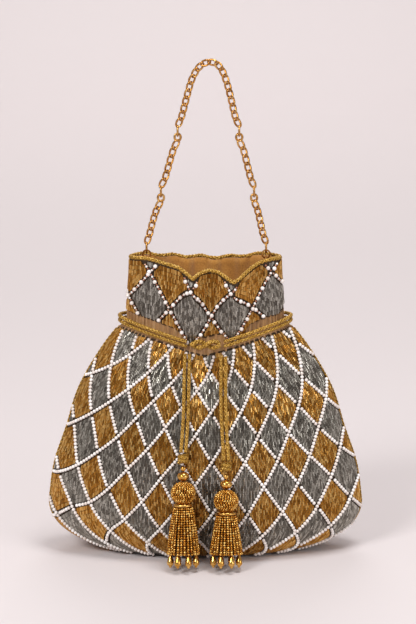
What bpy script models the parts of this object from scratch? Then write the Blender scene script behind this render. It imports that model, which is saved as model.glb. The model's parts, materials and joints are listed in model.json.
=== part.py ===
"""A beaded drawstring potli bag with a tied neck cord, two tassels and a detachable chain handle.

Metres, +Z up, +X to the right of the front, the front faces -Y. The origin is on the ground
under the middle of the bag. Fabric pieces are shells over one bag surface, so a change of an
overall size moves the panels, the lining, the braid and the cord that lie on it together.
"""

import math

import bmesh
import bpy
import numpy as np
from mathutils import Vector

MM = 0.001
UP = np.array([0.0, 0.0, 1.0])
SIDEWAYS = np.array([1.0, 0.0, 0.0])
FORWARD = np.array([0.0, 1.0, 0.0])

# Overall sizes of the bag
BODY_WIDTH = 240 * MM
BELLY_HEIGHT = 38 * MM
BODY_DEPTH = 94 * MM
BASE_WIDTH = 108 * MM
BASE_DEPTH = 54 * MM
NECK_HEIGHT = 181 * MM
NECK_WIDTH = 121 * MM
NECK_DEPTH = 39 * MM
RIM_HEIGHT = 228 * MM
RIM_WIDTH = 116 * MM
RIM_DEPTH = 48 * MM
CORNER_POWER = 2.2
SECTION_POWER = 1.2

# Cloth, seams and gaps
GAP = 0.3 * MM
PANEL_WALL = 1.3 * MM
LINING_WALL = 0.7 * MM
LINING_EASE = 1.9 * MM
LINING_FOLD_SHARE = 0.15
PIPING_RADIUS = 1.2 * MM
BRAID_RADIUS = 1.7 * MM
BAND_HEIGHT = 17 * MM
FRONT_DIP = 20 * MM
BACK_DIP = 4 * MM
PLEAT_START = 105 * MM
NECK_FOLD_SHARE = 0.3

# Cords: each is two round strands side by side
STRAND_RADIUS = 1.6 * MM
KNOT_STRAND_RADIUS = 2.0 * MM
KNOT_TWIST_RADIUS = 2.3 * MM
KNOT_HALF_LENGTH = 12.5 * MM
STRAND_PITCH = 2 * STRAND_RADIUS + GAP

# Chain and its fittings
WIRE = 1.6 * MM
LINK_WIDTH = 5.6 * MM
LINK_PITCH = 5.75 * MM
LINK_TWIST = 1.05 * MM
FUSE_DEPTH = 0.1 * MM
HINGE_LINK_WIDTH = 6.2 * MM
CHAIN_Y = -1 * MM
HINGE_HEIGHT = 233 * MM
FOLD_HEIGHTS = (276 * MM, 322 * MM)
RING_RADIUS = 3.0 * MM
RING_WIRE = 1.3 * MM
CLASP_WIRE = 1.8 * MM
CLASP_LENGTH = 18.4 * MM
CLASP_HALF_WIDTH = 3.8 * MM
EYE_RADIUS = 1.9 * MM
BARREL_RADIUS = 1.9 * MM
BARREL_LENGTH = 4.6 * MM
LEVER_WIRE = 1.3 * MM
BAIL_RADIUS = 5.0 * MM
BAIL_DROP = 1.5 * MM
TAB_WIDTH = 7 * MM
TAB_THICKNESS = 1.0 * MM
TAB_LENGTH = 16 * MM

# Tassels
LEAN = math.radians(10.5)
END_KNOT_WIDTH = 9.4 * MM
END_KNOT_HEIGHT = 9.6 * MM
DROPS = 8
SKIRT_LOBES = 14
LOBE_DEPTH = 0.6 * MM
SKIRT_TOP_SHARE = 0.56
TASSEL_WIDTH = 26 * MM
BULB_WIDTH = 19 * MM
BULB_HEIGHT = 17.4 * MM
BALL_WIDTH = 4.2 * MM
LARGE_BEAD_WIDTH = 9.4 * MM
LARGE_BEAD_HEIGHT = 7 * MM
BINDING_WIDTH = 15.6 * MM
BINDING_HEIGHT = 2.4 * MM
DROP_WIDTH = 5.2 * MM
DROP_LENGTH = 9.4 * MM
TIP_HEIGHT = 0.5 * MM

# Widths and depths of the bag above the belly, as shares between the belly (1) and the neck (0)
WIDTH_STEPS = ((0.0, 1.0), (0.2, 0.93), (0.4, 0.77), (0.62, 0.6), (0.85, 0.28), (1.0, 0.0))
DEPTH_STEPS = ((0.0, 1.0), (0.3, 0.86), (0.55, 0.6), (0.8, 0.27), (1.0, 0.0))
# Folds of the gathered mouth: place across the front, how far it stands out, how far its rim droops
FRONT_FOLDS = (
    (-1.0, 0.0, 1.0), (-0.76, 0.0, 0.0), (-0.53, -0.5, 3.0), (-0.30, 1.5, 7.0), (-0.17, 6.0, 13.0),
    (-0.03, -5.0, 9.5), (0.11, -5.5, 8.5), (0.25, 2.0, 12.5), (0.38, 6.5, 16.0), (0.52, 1.5, 10.5),
    (0.70, -4.0, 4.0), (0.86, 0.5, 1.0), (1.0, 0.0, 1.5),
)
BACK_FOLDS = (
    (-1.0, 0.0, 1.0), (-0.78, 1.0, 1.0), (-0.6, -3.5, 3.0), (-0.42, 2.0, 3.5), (-0.25, -4.0, 5.0),
    (-0.06, 3.5, 5.0), (0.12, -4.0, 6.0), (0.32, 3.5, 5.0), (0.5, -4.0, 4.0), (0.68, 2.0, 2.0),
    (0.84, -1.0, 1.0), (1.0, 0.0, 1.5),
)
# The chain's centre line, as (x, z), from the left end over the hook point to the right end
CHAIN_ROUTE = (
    (-45, 230), (-41, 250), (-34, 274), (-27.3, 298.5), (-20.5, 323), (-14, 349), (-9.3, 364.5),
    (-3.8, 373), (3, 376), (9.5, 373.8), (14, 366), (18.5, 351), (22.5, 333), (27.5, 314),
    (32.5, 294), (37, 274.5), (42, 252), (46.5, 230),
)
# Where each hanging cord runs: (x from the middle, height), down the front of the bag to its knot
LEFT_DROP = ((-13.6, 158.5), (-13.9, 148), (-14.3, 132), (-14.6, 116), (-15.6, 100), (-16.6, 88))
RIGHT_DROP = ((13.4, 156.5), (13.6, 146), (13.4, 130), (13.8, 112), (14.8, 94), (15.6, 82))

COLOURS = {
    "beads": ((0.42, 0.26, 0.10), 0.35, 0.6),
    "suede": ((0.40, 0.20, 0.07), 0.9, 0.0),
    "satin": ((0.45, 0.28, 0.13), 0.5, 0.0),
    "zari": ((0.47, 0.30, 0.10), 0.4, 0.8),
    "gold": ((0.62, 0.38, 0.14), 0.25, 1.0),
    "seed_beads": ((0.52, 0.27, 0.06), 0.3, 0.7),
}


def clear_scene():
    for thing in list(bpy.data.objects):
        bpy.data.objects.remove(thing, do_unlink=True)


def finish_of(name):
    """The Principled material of that finish, made once."""
    if name in bpy.data.materials:
        return bpy.data.materials[name]
    colour, roughness, metallic = COLOURS[name]
    material = bpy.data.materials.new(name)
    material.use_nodes = True
    shader = material.node_tree.nodes["Principled BSDF"]
    shader.inputs["Base Color"].default_value = (*colour, 1)
    shader.inputs["Roughness"].default_value = roughness
    shader.inputs["Metallic"].default_value = metallic
    return material


def object_of(name, mesh, finish, parent=None, smooth=True):
    thing = bpy.data.objects.new(name, mesh)
    bpy.context.scene.collection.objects.link(thing)
    thing.data.materials.append(finish_of(finish))
    if parent:
        thing.parent = parent
    if smooth and hasattr(mesh, "shade_smooth"):
        mesh.shade_smooth()
    return thing


def empty_at(name, place, lean=0.0, parent=None):
    thing = bpy.data.objects.new(name, None)
    bpy.context.scene.collection.objects.link(thing)
    thing.location = place
    thing.rotation_euler.x = lean
    if parent:
        thing.parent = parent
        thing.location = Vector(place) - parent.location
    return thing


def mesh_of(name, work):
    """A mesh from a bmesh whose faces all point outwards."""
    bmesh.ops.recalc_face_normals(work, faces=work.faces)
    mesh = bpy.data.meshes.new(name)
    work.to_mesh(mesh)
    work.free()
    return mesh


def through(points, at):
    """A smooth curve through (place, value, ...) points: cubic pieces with level-headed slopes."""
    points = np.array(points, float)
    x = points[:, 0]
    y = points[:, 1:]
    rise = np.diff(y, axis=0) / np.diff(x)[:, None]
    slope = np.vstack([rise[:1], (rise[1:] + rise[:-1]) / 2, rise[-1:]])
    at = np.clip(np.asarray(at, float), x[0], x[-1])
    i = np.clip(np.searchsorted(x, at, side="right") - 1, 0, len(x) - 2)
    step = (x[i + 1] - x[i])[..., None]
    t = ((at - x[i]) / (x[i + 1] - x[i]))[..., None]
    start = y[i] * (2 * t**3 - 3 * t**2 + 1) + slope[i] * step * (t**3 - 2 * t**2 + t)
    end = y[i + 1] * (3 * t**2 - 2 * t**3) + slope[i + 1] * step * (t**3 - t**2)
    return start + end


def smooth_line(points, spacing):
    """Points about spacing apart along a smooth curve through the route's own points."""
    points = np.array(points, float)
    along = np.concatenate([[0], np.cumsum(np.linalg.norm(np.diff(points, axis=0), axis=1))])
    fine = through(np.column_stack([along, points]), np.linspace(0, along[-1], 400))
    return spaced(fine, spacing)


def spaced(line, spacing):
    along = np.concatenate([[0], np.cumsum(np.linalg.norm(np.diff(line, axis=0), axis=1))])
    count = max(2, round(along[-1] / spacing) + 1)
    at = np.linspace(0, along[-1], count)
    return np.column_stack([np.interp(at, along, line[:, k]) for k in range(line.shape[1])])


def smooth_step(t):
    t = np.clip(t, 0, 1)
    return t * t * (3 - 2 * t)


def profile(height, base, belly, neck, rim, steps):
    """A half width or half depth at a height: round corner, belly, taper to the neck, mouth."""
    height = np.asarray(height, float)
    low = np.clip(1 - height / BELLY_HEIGHT, 0, 1)
    corner = base + (belly - base) * (1 - low**CORNER_POWER) ** (1 / CORNER_POWER)
    share = through(steps, (height - BELLY_HEIGHT) / (NECK_HEIGHT - BELLY_HEIGHT))[..., 0]
    taper = neck + (belly - neck) * share
    mouth = neck + (rim - neck) * smooth_step((height - NECK_HEIGHT) / (RIM_HEIGHT - NECK_HEIGHT))
    upper = np.where(height < NECK_HEIGHT, taper, mouth)
    return np.where(height < BELLY_HEIGHT, corner, upper)


def half_width(height):
    sizes = (BASE_WIDTH / 2, BODY_WIDTH / 2, NECK_WIDTH / 2, RIM_WIDTH / 2)
    return profile(height, *sizes, WIDTH_STEPS)


def half_depth(height):
    sizes = (BASE_DEPTH / 2, BODY_DEPTH / 2, NECK_DEPTH / 2, RIM_DEPTH / 2)
    return profile(height, *sizes, DEPTH_STEPS)


def bag_surface(side, across, height, outward=1.0):
    """Points of the bag's outer surface: side is -1 in front, across runs seam to seam.

    Folds that stand out are kept to the share outward, for the lining that doesn't fill them.
    """
    across, height = np.broadcast_arrays(np.asarray(across, float), np.asarray(height, float))
    folds, dip = (FRONT_FOLDS, FRONT_DIP) if side < 0 else (BACK_FOLDS, BACK_DIP)
    angle = across * math.pi / 2
    width = np.sin(angle)
    fold = through(folds, width)
    seam = PIPING_RADIUS + GAP
    bulge = np.cos(angle) ** SECTION_POWER
    deep = seam + (half_depth(height) - seam) * bulge
    low = NECK_FOLD_SHARE * smooth_step((height - PLEAT_START) / (NECK_HEIGHT - PLEAT_START))
    high = (1 - NECK_FOLD_SHARE) * smooth_step((height - NECK_HEIGHT) / (RIM_HEIGHT - NECK_HEIGHT))
    stands = np.where(fold[..., 0] > 0, outward, 1.0) * fold[..., 0]
    deep = deep + stands * MM * (low + high)
    drop = dip * (1 - np.abs(width)) * smooth_step((height - PLEAT_START) / (NECK_HEIGHT - PLEAT_START))
    up = np.clip((height - NECK_HEIGHT) / (RIM_HEIGHT - NECK_HEIGHT), 0, 1)
    drop = drop * (1 - up) + fold[..., 1] * MM * up
    return np.stack([half_width(height) * width, side * deep, height - drop], axis=-1)


def normals_of(grid, wrap):
    """Outward directions at each point of a grid whose rows go up and whose columns go round."""
    if wrap:
        round_way = np.roll(grid, -1, axis=1) - np.roll(grid, 1, axis=1)
    else:
        round_way = np.gradient(grid, axis=1)
    normal = np.cross(round_way, np.gradient(grid, axis=0))
    return normal / np.maximum(np.linalg.norm(normal, axis=-1, keepdims=True), 1e-12)


def shell(name, outer, inner, wrap, capped=False):
    """A closed cloth shell between two grids of points; capped also closes the grids' first row."""
    work = bmesh.new()
    grids = [[[work.verts.new(p) for p in row] for row in grid] for grid in (outer, inner)]
    rows, columns = outer.shape[:2]
    last = columns if wrap else columns - 1
    for grid in grids:
        for i in range(rows - 1):
            for j in range(last):
                k = (j + 1) % columns
                work.faces.new((grid[i][j], grid[i][k], grid[i + 1][k], grid[i + 1][j]))
    for i in (rows - 1,) if capped else (0, rows - 1):
        for j in range(last):
            k = (j + 1) % columns
            work.faces.new((grids[0][i][j], grids[0][i][k], grids[1][i][k], grids[1][i][j]))
    if capped:
        for grid in grids:
            work.faces.new(grid[0])
    if not wrap:
        for j in (0, columns - 1):
            for i in range(rows - 1):
                ring = (grids[0][i][j], grids[0][i + 1][j], grids[1][i + 1][j], grids[1][i][j])
                work.faces.new(ring)
    return mesh_of(name, work)


def panel_grid(side, heights, columns):
    """The outer points of a panel: the strip that lies on the ground, then the rows above it."""
    across = np.linspace(-1, 1, columns) * -side
    rows = [bag_surface(side, across, h) for h in heights]
    if heights[0] == 0:
        seam = rows[0].copy()
        seam[:, 0] *= 1 - 2 * PIPING_RADIUS / BASE_WIDTH
        seam[:, 1] = side * (PIPING_RADIUS + GAP)
        middle = (rows[0] + seam) / 2
        rows = [seam, middle, *rows]
    return np.array(rows)


def body_heights():
    """Row heights of a panel, close together round the bottom corner and near the neck."""
    corner = BELLY_HEIGHT * (1 - np.cos(np.linspace(0, math.pi / 2, 5)))
    top = NECK_HEIGHT - BAND_HEIGHT / 2
    upper = np.linspace(BELLY_HEIGHT, top, 8)
    return list(corner) + list(upper[1:])


def make_panels():
    for side, name in ((-1, "front_panel"), (1, "back_panel")):
        outer = panel_grid(side, body_heights(), 25)
        normal = normals_of(outer, False)
        normal[:2] = (0, 0, -1)
        object_of(name, shell(name, outer, outer - normal * PANEL_WALL, False), "beads")


def make_neck_band():
    """The satin strip between the panels and the collar, which the neck cord goes round."""
    low = NECK_HEIGHT - BAND_HEIGHT / 2 + GAP
    high = NECK_HEIGHT + BAND_HEIGHT / 2 - 3 * GAP
    outer = ring_grid(np.linspace(low, high, 3), 24)
    inner = outer - normals_of(outer, True) * PANEL_WALL
    object_of("neck_band", shell("neck_band", outer, inner, True), "satin")


def ring_grid(heights, columns, outward=1.0):
    """Rows of points right round the bag, starting at the left seam and passing the front."""
    across = (np.arange(columns) + 0.5) / columns * 2 - 1
    sides = ((-1, across), (1, across[::-1]))
    return np.array([np.vstack([bag_surface(s, a, h, outward) for s, a in sides]) for h in heights])


def make_collars():
    """The beaded frill above the cord, in a front and a back half that meet at the side seams."""
    heights = np.linspace(NECK_HEIGHT + BAND_HEIGHT / 2, RIM_HEIGHT, 5)
    for side, name in ((-1, "collar_front"), (1, "collar_back")):
        across = np.linspace(-1, 1, 37) * -side
        outer = np.array([bag_surface(side, across, h) for h in heights])
        inner = outer - normals_of(outer, False) * PANEL_WALL
        outer[:, [0, -1], 1] = side * GAP / 2
        inner[:, [0, -1], 1] = side * GAP / 2
        object_of(name, shell(name, outer, inner, False), "beads")


def make_lining():
    """The suede bag inside, open at the top and closed under the base."""
    heights = body_heights()[:-2] + list(np.linspace(NECK_HEIGHT - BAND_HEIGHT, RIM_HEIGHT, 8))
    surface = ring_grid(heights, 22, LINING_FOLD_SHARE)
    normal = normals_of(surface, True)
    normal[0] = normal[0] * [1, 1, 0] + [0, 0, -0.6]
    normal[0] /= np.linalg.norm(normal[0], axis=-1, keepdims=True)
    depth = PANEL_WALL + LINING_EASE
    outer = surface - normal * depth
    inner = surface - normal * (depth + LINING_WALL)
    floor = 2 * PIPING_RADIUS + GAP
    outer[0, :, 2] = floor
    inner[0, :, 2] = floor + LINING_WALL
    object_of("lining_bag", shell("lining_bag", outer, inner, True, True), "suede")


def tube(name, points, radius, finish, closed=False, resolution=2, parent=None):
    """A round cord along the points, as a poly curve with a round bevel and filled caps."""
    curve = bpy.data.curves.new(name, "CURVE")
    curve.dimensions = "3D"
    curve.bevel_depth = radius
    curve.bevel_resolution = resolution
    curve.use_fill_caps = not closed
    spline = curve.splines.new("POLY")
    spline.points.add(len(points) - 1)
    for point, place in zip(spline.points, points):
        point.co = (*place, 1)
    spline.use_cyclic_u = closed
    spline.use_smooth = True
    return object_of(name, curve, finish, parent)


def make_piping():
    """The round piped seam between the panels, up one side, under the bag and up the other."""
    heights = np.array(body_heights())
    width = half_width(heights)
    right = np.column_stack([width, 0 * width, heights])
    right[:, 2] = np.maximum(right[:, 2], PIPING_RADIUS)
    left = right[::-1] * [-1, 1, 1]
    under = np.array([[0, 0, PIPING_RADIUS]])
    route = smooth_line(np.vstack([left, under, right]), 9 * MM)
    route[:, 2] = np.maximum(route[:, 2], PIPING_RADIUS)
    tube("side_piping", route, PIPING_RADIUS, "zari")


def make_rim_braid():
    """The gold braid that sits on the collar's upper edge and closes it over the lining."""
    rim = ring_grid([RIM_HEIGHT - 2 * MM, RIM_HEIGHT], 30)
    middle = rim[1] - normals_of(rim, True)[1] * (PANEL_WALL + GAP / 2)
    middle[:, 2] += BRAID_RADIUS + GAP
    tube("rim_braid", middle, BRAID_RADIUS, "zari", closed=True, resolution=1)


def neck_line(lift):
    """The taut oval that the neck cord follows over the gathers, open at the knot in front."""
    clear = STRAND_RADIUS + GAP
    ridge = max(fold[1] for fold in FRONT_FOLDS) * NECK_FOLD_SHARE * MM
    below = NECK_HEIGHT - STRAND_PITCH
    wide = float(half_width(below)) + clear
    deep = float(half_depth(below)) + ridge + clear
    start = math.asin((KNOT_HALF_LENGTH + STRAND_RADIUS) / wide)
    angle = np.linspace(start, 2 * math.pi - start, 40)
    x = -wide * np.sin(angle)
    y = -deep * np.cos(angle)
    fall = np.where(y < 0, FRONT_DIP, BACK_DIP) * (1 - np.abs(x) / wide)
    return np.column_stack([x, y, NECK_HEIGHT - fall + lift])


def make_neck_cord():
    """The doubled cord round the neck: an upper and a lower strand."""
    for name, lift in (("drawstring_upper", 0.5), ("drawstring_lower", -0.5)):
        tube(name, neck_line(lift * STRAND_PITCH), STRAND_RADIUS, "zari")


def make_knot():
    """The half knot in front: the two ends of the doubled cord turned once round each other."""
    middle = neck_line(0)[0]
    turn = np.linspace(-math.pi / 2, math.pi * 1.5, 11)
    for name, start in (("knot_over", 0), ("knot_under", math.pi)):
        x = np.linspace(-KNOT_HALF_LENGTH + STRAND_RADIUS, KNOT_HALF_LENGTH - STRAND_RADIUS, 11)
        y = middle[1] - 1.2 * STRAND_RADIUS + KNOT_TWIST_RADIUS * np.sin(turn + start)
        z = middle[2] + KNOT_TWIST_RADIUS * np.cos(turn + start)
        tube(name, np.column_stack([x, y, z]), KNOT_STRAND_RADIUS, "zari")


def front_depth(x, z):
    """How far the bag's front stands out at a place, for what lies on it."""
    return float(half_depth(z)) * (1 - (x / float(half_width(z))) ** 2) ** (SECTION_POWER / 2)


def hanging_line(drop, aside):
    """One strand of a hanging cord, from the half knot down the front of the bag to its end knot."""
    route = []
    for k, (x, z) in enumerate(drop):
        share = k / (len(drop) - 1)
        away = STRAND_RADIUS + 2 * GAP + share**4 * (BULB_WIDTH / 2 - 2.2 * STRAND_RADIUS)
        deep = front_depth(x * MM, z * MM) + away
        route.append((x * MM + aside, -max(deep, NECK_DEPTH / 2 + 7 * MM), z * MM))
    return smooth_line(route, 4 * STRAND_RADIUS)


def spun(name, outline, steps):
    """A turned solid: the (radius, height) outline runs from the top pole to the bottom pole."""
    work = bmesh.new()
    verts = [work.verts.new((r, 0, z)) for r, z in outline]
    for a, b in zip(verts, verts[1:]):
        work.edges.new((a, b))
    bmesh.ops.spin(
        work, geom=work.verts[:] + work.edges[:], axis=(0, 0, 1), cent=(0, 0, 0),
        angle=2 * math.pi, steps=steps, use_merge=True, use_duplicate=False,
    )
    bmesh.ops.remove_doubles(work, verts=work.verts, dist=1e-6)
    return mesh_of(name, work)


def oval_outline(width, top, bottom, count):
    """The outline of a ball or bead between two heights."""
    angle = np.linspace(0, math.pi, count)
    middle = (top + bottom) / 2
    half = (top - bottom) / 2
    return [(max(0.0, width / 2 * math.sin(a)), middle + half * math.cos(a)) for a in angle]


def skirt_mesh(name, top, bottom):
    """The bundle of bead strands: a flared body with one lobe for each outer strand."""
    work = bmesh.new()
    rings = []
    for share in np.linspace(0, 1, 5):
        spread = SKIRT_TOP_SHARE + (1 - SKIRT_TOP_SHARE) * share**0.8
        radius = TASSEL_WIDTH / 2 * spread - LOBE_DEPTH
        ring = []
        for k in range(2 * SKIRT_LOBES):
            angle = math.pi * k / SKIRT_LOBES
            r = radius + (LOBE_DEPTH if k % 2 else -LOBE_DEPTH)
            height = top + (bottom - top) * share
            ring.append(work.verts.new((r * math.cos(angle), r * math.sin(angle), height)))
        rings.append(ring)
    for a, b in zip(rings, rings[1:]):
        for k in range(len(a)):
            m = (k + 1) % len(a)
            work.faces.new((a[k], a[m], b[m], b[k]))
    work.faces.new(rings[0])
    work.faces.new(rings[-1])
    return mesh_of(name, work)


def drop_outline(top, bottom):
    """A polished teardrop with a small ball at its tip, as shares of its half width and length."""
    shape = ((0, 0), (0.35, 0.06), (0.62, 0.25), (0.96, 0.52))
    shape += ((1, 0.66), (0.65, 0.83), (0.42, 0.92), (0, 1))
    return [(r * DROP_WIDTH / 2, top - share * (top - bottom)) for r, share in shape]


def make_tassel(word, top, tip, parent):
    """A tassel below its cord's end knot: balls, beaded bulb, binding, strands and drops."""
    half = END_KNOT_HEIGHT / 2
    ball_top = -half - GAP
    bead_top = ball_top - BALL_WIDTH - GAP
    bulb_top = bead_top - LARGE_BEAD_HEIGHT - GAP
    flat = bulb_top - BULB_HEIGHT + 1 * MM
    knot_shape = oval_outline(END_KNOT_WIDTH, half, -half, 7)
    ball = oval_outline(BALL_WIDTH, ball_top, ball_top - BALL_WIDTH, 6)
    bead = oval_outline(LARGE_BEAD_WIDTH, bead_top, bead_top - LARGE_BEAD_HEIGHT, 7)
    bulb = [p for p in oval_outline(BULB_WIDTH, bulb_top, bulb_top - BULB_HEIGHT, 9) if p[1] > flat]
    bulb += [(0.58 * BULB_WIDTH / 2, flat), (0, flat)]
    ring_top = flat - GAP
    ring_bottom = ring_top - BINDING_HEIGHT
    ring_edge = BINDING_WIDTH / 2 - BINDING_HEIGHT / 4
    ring = [(0, ring_top), (ring_edge, ring_top), (BINDING_WIDTH / 2, (ring_top + ring_bottom) / 2)]
    ring += [(ring_edge, ring_bottom), (0, ring_bottom)]
    drop_bottom = -(top - tip) / math.cos(LEAN) + TASSEL_WIDTH / 2 * math.tan(LEAN)
    drop_top = drop_bottom + DROP_LENGTH
    skirt = skirt_mesh("tassel_skirt", ring_bottom - GAP, drop_top + GAP)
    object_of("end_knot_" + word, spun("end_knot", knot_shape, 10), "zari", parent)
    object_of("small_ball_" + word, spun("small_ball", ball, 8), "gold", parent)
    object_of("large_bead_" + word, spun("large_bead", bead, 10), "gold", parent)
    object_of("tassel_bulb_" + word, spun("tassel_bulb", bulb, 14), "seed_beads", parent)
    object_of("tassel_binding_" + word, spun("tassel_binding", ring, 14), "gold", parent)
    object_of("tassel_skirt_" + word, skirt, "seed_beads", parent)
    mesh = spun("tassel_drop", drop_outline(drop_top, drop_bottom), 7)
    reach = (TASSEL_WIDTH - DROP_WIDTH) / 2
    for k in range(DROPS):
        angle = 2 * math.pi * (k + 0.5) / DROPS
        drop = object_of(f"tassel_drop_{word}_{k + 1}", mesh, "gold", parent)
        drop.location = (reach * math.cos(angle), reach * math.sin(angle), 0)


def make_hanging_cords():
    """The two ends of the doubled cord, each with its end knot and tassel, on pivots of their own."""
    for word, drop in (("left", LEFT_DROP), ("right", RIGHT_DROP)):
        lines = [hanging_line(drop, aside * STRAND_PITCH) for aside in (-0.5, 0.5)]
        start = (lines[0][0] + lines[1][0]) / 2
        end = (lines[0][-1] + lines[1][-1]) / 2
        swing = empty_at("cord_pivot_" + word, start)
        for strand, line in zip("ab", lines):
            tube(f"cord_{word}_{strand}", line - start, STRAND_RADIUS, "zari", parent=swing)
        knot = end - (0, GAP, END_KNOT_HEIGHT / 2 + GAP)
        hang = empty_at("tassel_pivot_" + word, knot, -LEAN, swing)
        make_tassel(word, knot[2], TIP_HEIGHT, hang)


def sweep_loop(work, line, normal, wire, sides):
    """A round wire swept along a closed line of places, added to a bmesh."""
    turn = [2 * math.pi * m / sides for m in range(sides)]
    rings = []
    for k, place in enumerate(line):
        ahead = line[(k + 1) % len(line)] - line[k - 1]
        ahead = ahead / np.linalg.norm(ahead)
        side = np.cross(normal, ahead)
        side = side / np.linalg.norm(side)
        rise = np.cross(ahead, side)
        ring = [place + wire / 2 * (side * math.cos(t) + rise * math.sin(t)) for t in turn]
        rings.append([work.verts.new(p) for p in ring])
    for a, b in zip(rings, rings[1:] + rings[:1]):
        for m in range(sides):
            n = (m + 1) % sides
            work.faces.new((a[m], a[n], b[n], b[m]))


def ring_mesh(centre, along, across, reach, half_wide, wire, twist=0.0, sides=5, steps=8):
    """A bent wire loop: reach to its end bars, half width, and how far its sides twist."""
    normal = np.cross(along, across)
    long = reach / math.cos(math.pi / steps)
    angle = 2 * math.pi * (np.arange(steps) + 0.5) / steps
    line = [
        centre + along * long * math.cos(a) + across * half_wide * math.sin(a)
        + normal * twist * math.sin(2 * a)
        for a in angle
    ]
    work = bmesh.new()
    sweep_loop(work, line, normal, wire, sides)
    return mesh_of("loop", work)


def keep_outer_skin(mesh):
    """Fill the pinhead voids that are left where two round bars are pressed into each other."""
    work = bmesh.new()
    work.from_mesh(mesh)
    left = set(work.faces)
    skins = []
    while left:
        skin = set()
        border = {left.pop()}
        while border:
            skin |= border
            near = {f for face in border for edge in face.edges for f in edge.link_faces}
            border = near & left
            left -= border
        skins.append(skin)
    skins.sort(key=len)
    inner = [face for skin in skins[:-1] for face in skin]
    bmesh.ops.delete(work, geom=inner, context="FACES")
    work.to_mesh(mesh)
    work.free()


def joined(name, meshes, finish, parent=None):
    """One body from meshes that overlap, by Boolean unions that stay exact."""
    whole = object_of(name, meshes[0], finish, parent)
    for mesh in meshes[1:]:
        part = bpy.data.objects.new("part_of_" + name, mesh)
        bpy.context.scene.collection.objects.link(part)
        part.parent = parent
        union = whole.modifiers.new("union", "BOOLEAN")
        union.operation = "UNION"
        union.solver = "EXACT"
        union.object = part
        bpy.context.view_layer.update()
        seen = whole.evaluated_get(bpy.context.evaluated_depsgraph_get())
        done = bpy.data.meshes.new_from_object(seen)
        whole.modifiers.clear()
        whole.data = done
        bpy.data.objects.remove(part, do_unlink=True)
    keep_outer_skin(whole.data)
    return whole


def chain_piece(low, high):
    """The chain's line between two heights on each side, as (left, right), both rising.

    Where no upper height is given, a side goes on to the top of the arch.
    The first and last links of a piece stand upright, so that they can fold about a level bar.
    """
    route = [(x * MM, CHAIN_Y, z * MM) for x, z in CHAIN_ROUTE]
    line = smooth_line(route, 0.5 * MM)
    top = int(line[:, 2].argmax())
    sides = []
    for run in (line[: top + 1], line[top:][::-1]):
        start = np.array((np.interp(low, run[:, 2], run[:, 0]), CHAIN_Y, low))
        side = [start, start + UP * LINK_PITCH, *run[run[:, 2] > low + 2 * LINK_PITCH]]
        if high:
            stop = np.array((np.interp(high, run[:, 2], run[:, 0]), CHAIN_Y, high))
            side = [p for p in side if p[2] < high - 2 * LINK_PITCH]
            side += [stop - UP * LINK_PITCH, stop]
        sides.append(side)
    return sides


def make_chain_run(name, line, bars, parent):
    """A run of curb links pressed together: the first and last links of the line are hinge links.

    bars holds the reach of each end link past its end: below the bar it hangs on, where it
    stands edge on, or 0 where it is the face-on bar that carries the next run.
    """
    stops = [line[0], *spaced(np.array(line[1:-1]), LINK_PITCH), line[-1]]
    last = len(stops) - 2
    meshes = []
    for k, (start, stop) in enumerate(zip(stops, stops[1:])):
        ahead = (stop - start) / np.linalg.norm(stop - start)
        back = start - ahead * (bars[0] if k == 0 else FUSE_DEPTH)
        front = stop + ahead * (bars[1] if k == last else FUSE_DEPTH)
        at_end = k in (0, last)
        hangs = (k == 0 and bars[0] > 0) or (k == last and bars[1] > 0)
        across = FORWARD if hangs else np.cross(ahead, FORWARD)
        width = HINGE_LINK_WIDTH if at_end else LINK_WIDTH
        centre = (back + front) / 2 - np.array(parent.location)
        reach = np.linalg.norm(front - back) / 2
        twist = 0 if at_end else LINK_TWIST
        meshes.append(ring_mesh(centre, ahead, across, reach, (width - WIRE) / 2, WIRE, twist))
    joined(name, meshes, "gold", parent)


def make_chain():
    """The five runs of the chain and the three level axes about which both its sides fold."""
    heights = (HINGE_HEIGHT, *FOLD_HEIGHTS)
    pivots = [empty_at(f"handle_pivot_{k + 1}", (0, CHAIN_Y, h)) for k, h in enumerate(heights)]
    on_ring = (RING_WIRE + WIRE) / 2 + GAP
    on_link = WIRE + GAP
    lower = chain_piece(heights[0], heights[1])
    middle = chain_piece(heights[1], heights[2])
    for word, side in (("left", 0), ("right", 1)):
        make_chain_run("chain_lower_" + word, lower[side], (on_ring, 0), pivots[0])
        make_chain_run("chain_middle_" + word, middle[side], (on_link, 0), pivots[1])
    rise, fall = chain_piece(heights[2], None)
    arch = rise + fall[-2::-1]
    make_chain_run("chain_crown", arch, (on_link, on_link), pivots[2])
    return lower[0][0], lower[1][0]


def bent_wire(name, line, radius):
    """A closed round bar along a line, as a mesh that a Boolean can join."""
    curve = bpy.data.curves.new(name, "CURVE")
    curve.dimensions = "3D"
    curve.bevel_depth = radius
    curve.bevel_resolution = 1
    curve.use_fill_caps = True
    spline = curve.splines.new("POLY")
    spline.points.add(len(line) - 1)
    for point, place in zip(spline.points, line):
        point.co = (*place, 1)
    helper = bpy.data.objects.new(name, curve)
    mesh = bpy.data.meshes.new_from_object(helper)
    bpy.data.objects.remove(helper, do_unlink=True)
    work = bmesh.new()
    work.from_mesh(mesh)
    bmesh.ops.remove_doubles(work, verts=work.verts, dist=1e-6)
    return mesh_of(name, work)


def in_plane(origin, points):
    """(forward, up) places in the upright plane of a clasp, as points from the origin."""
    return [origin + FORWARD * a + UP * b for a, b in points]


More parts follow.
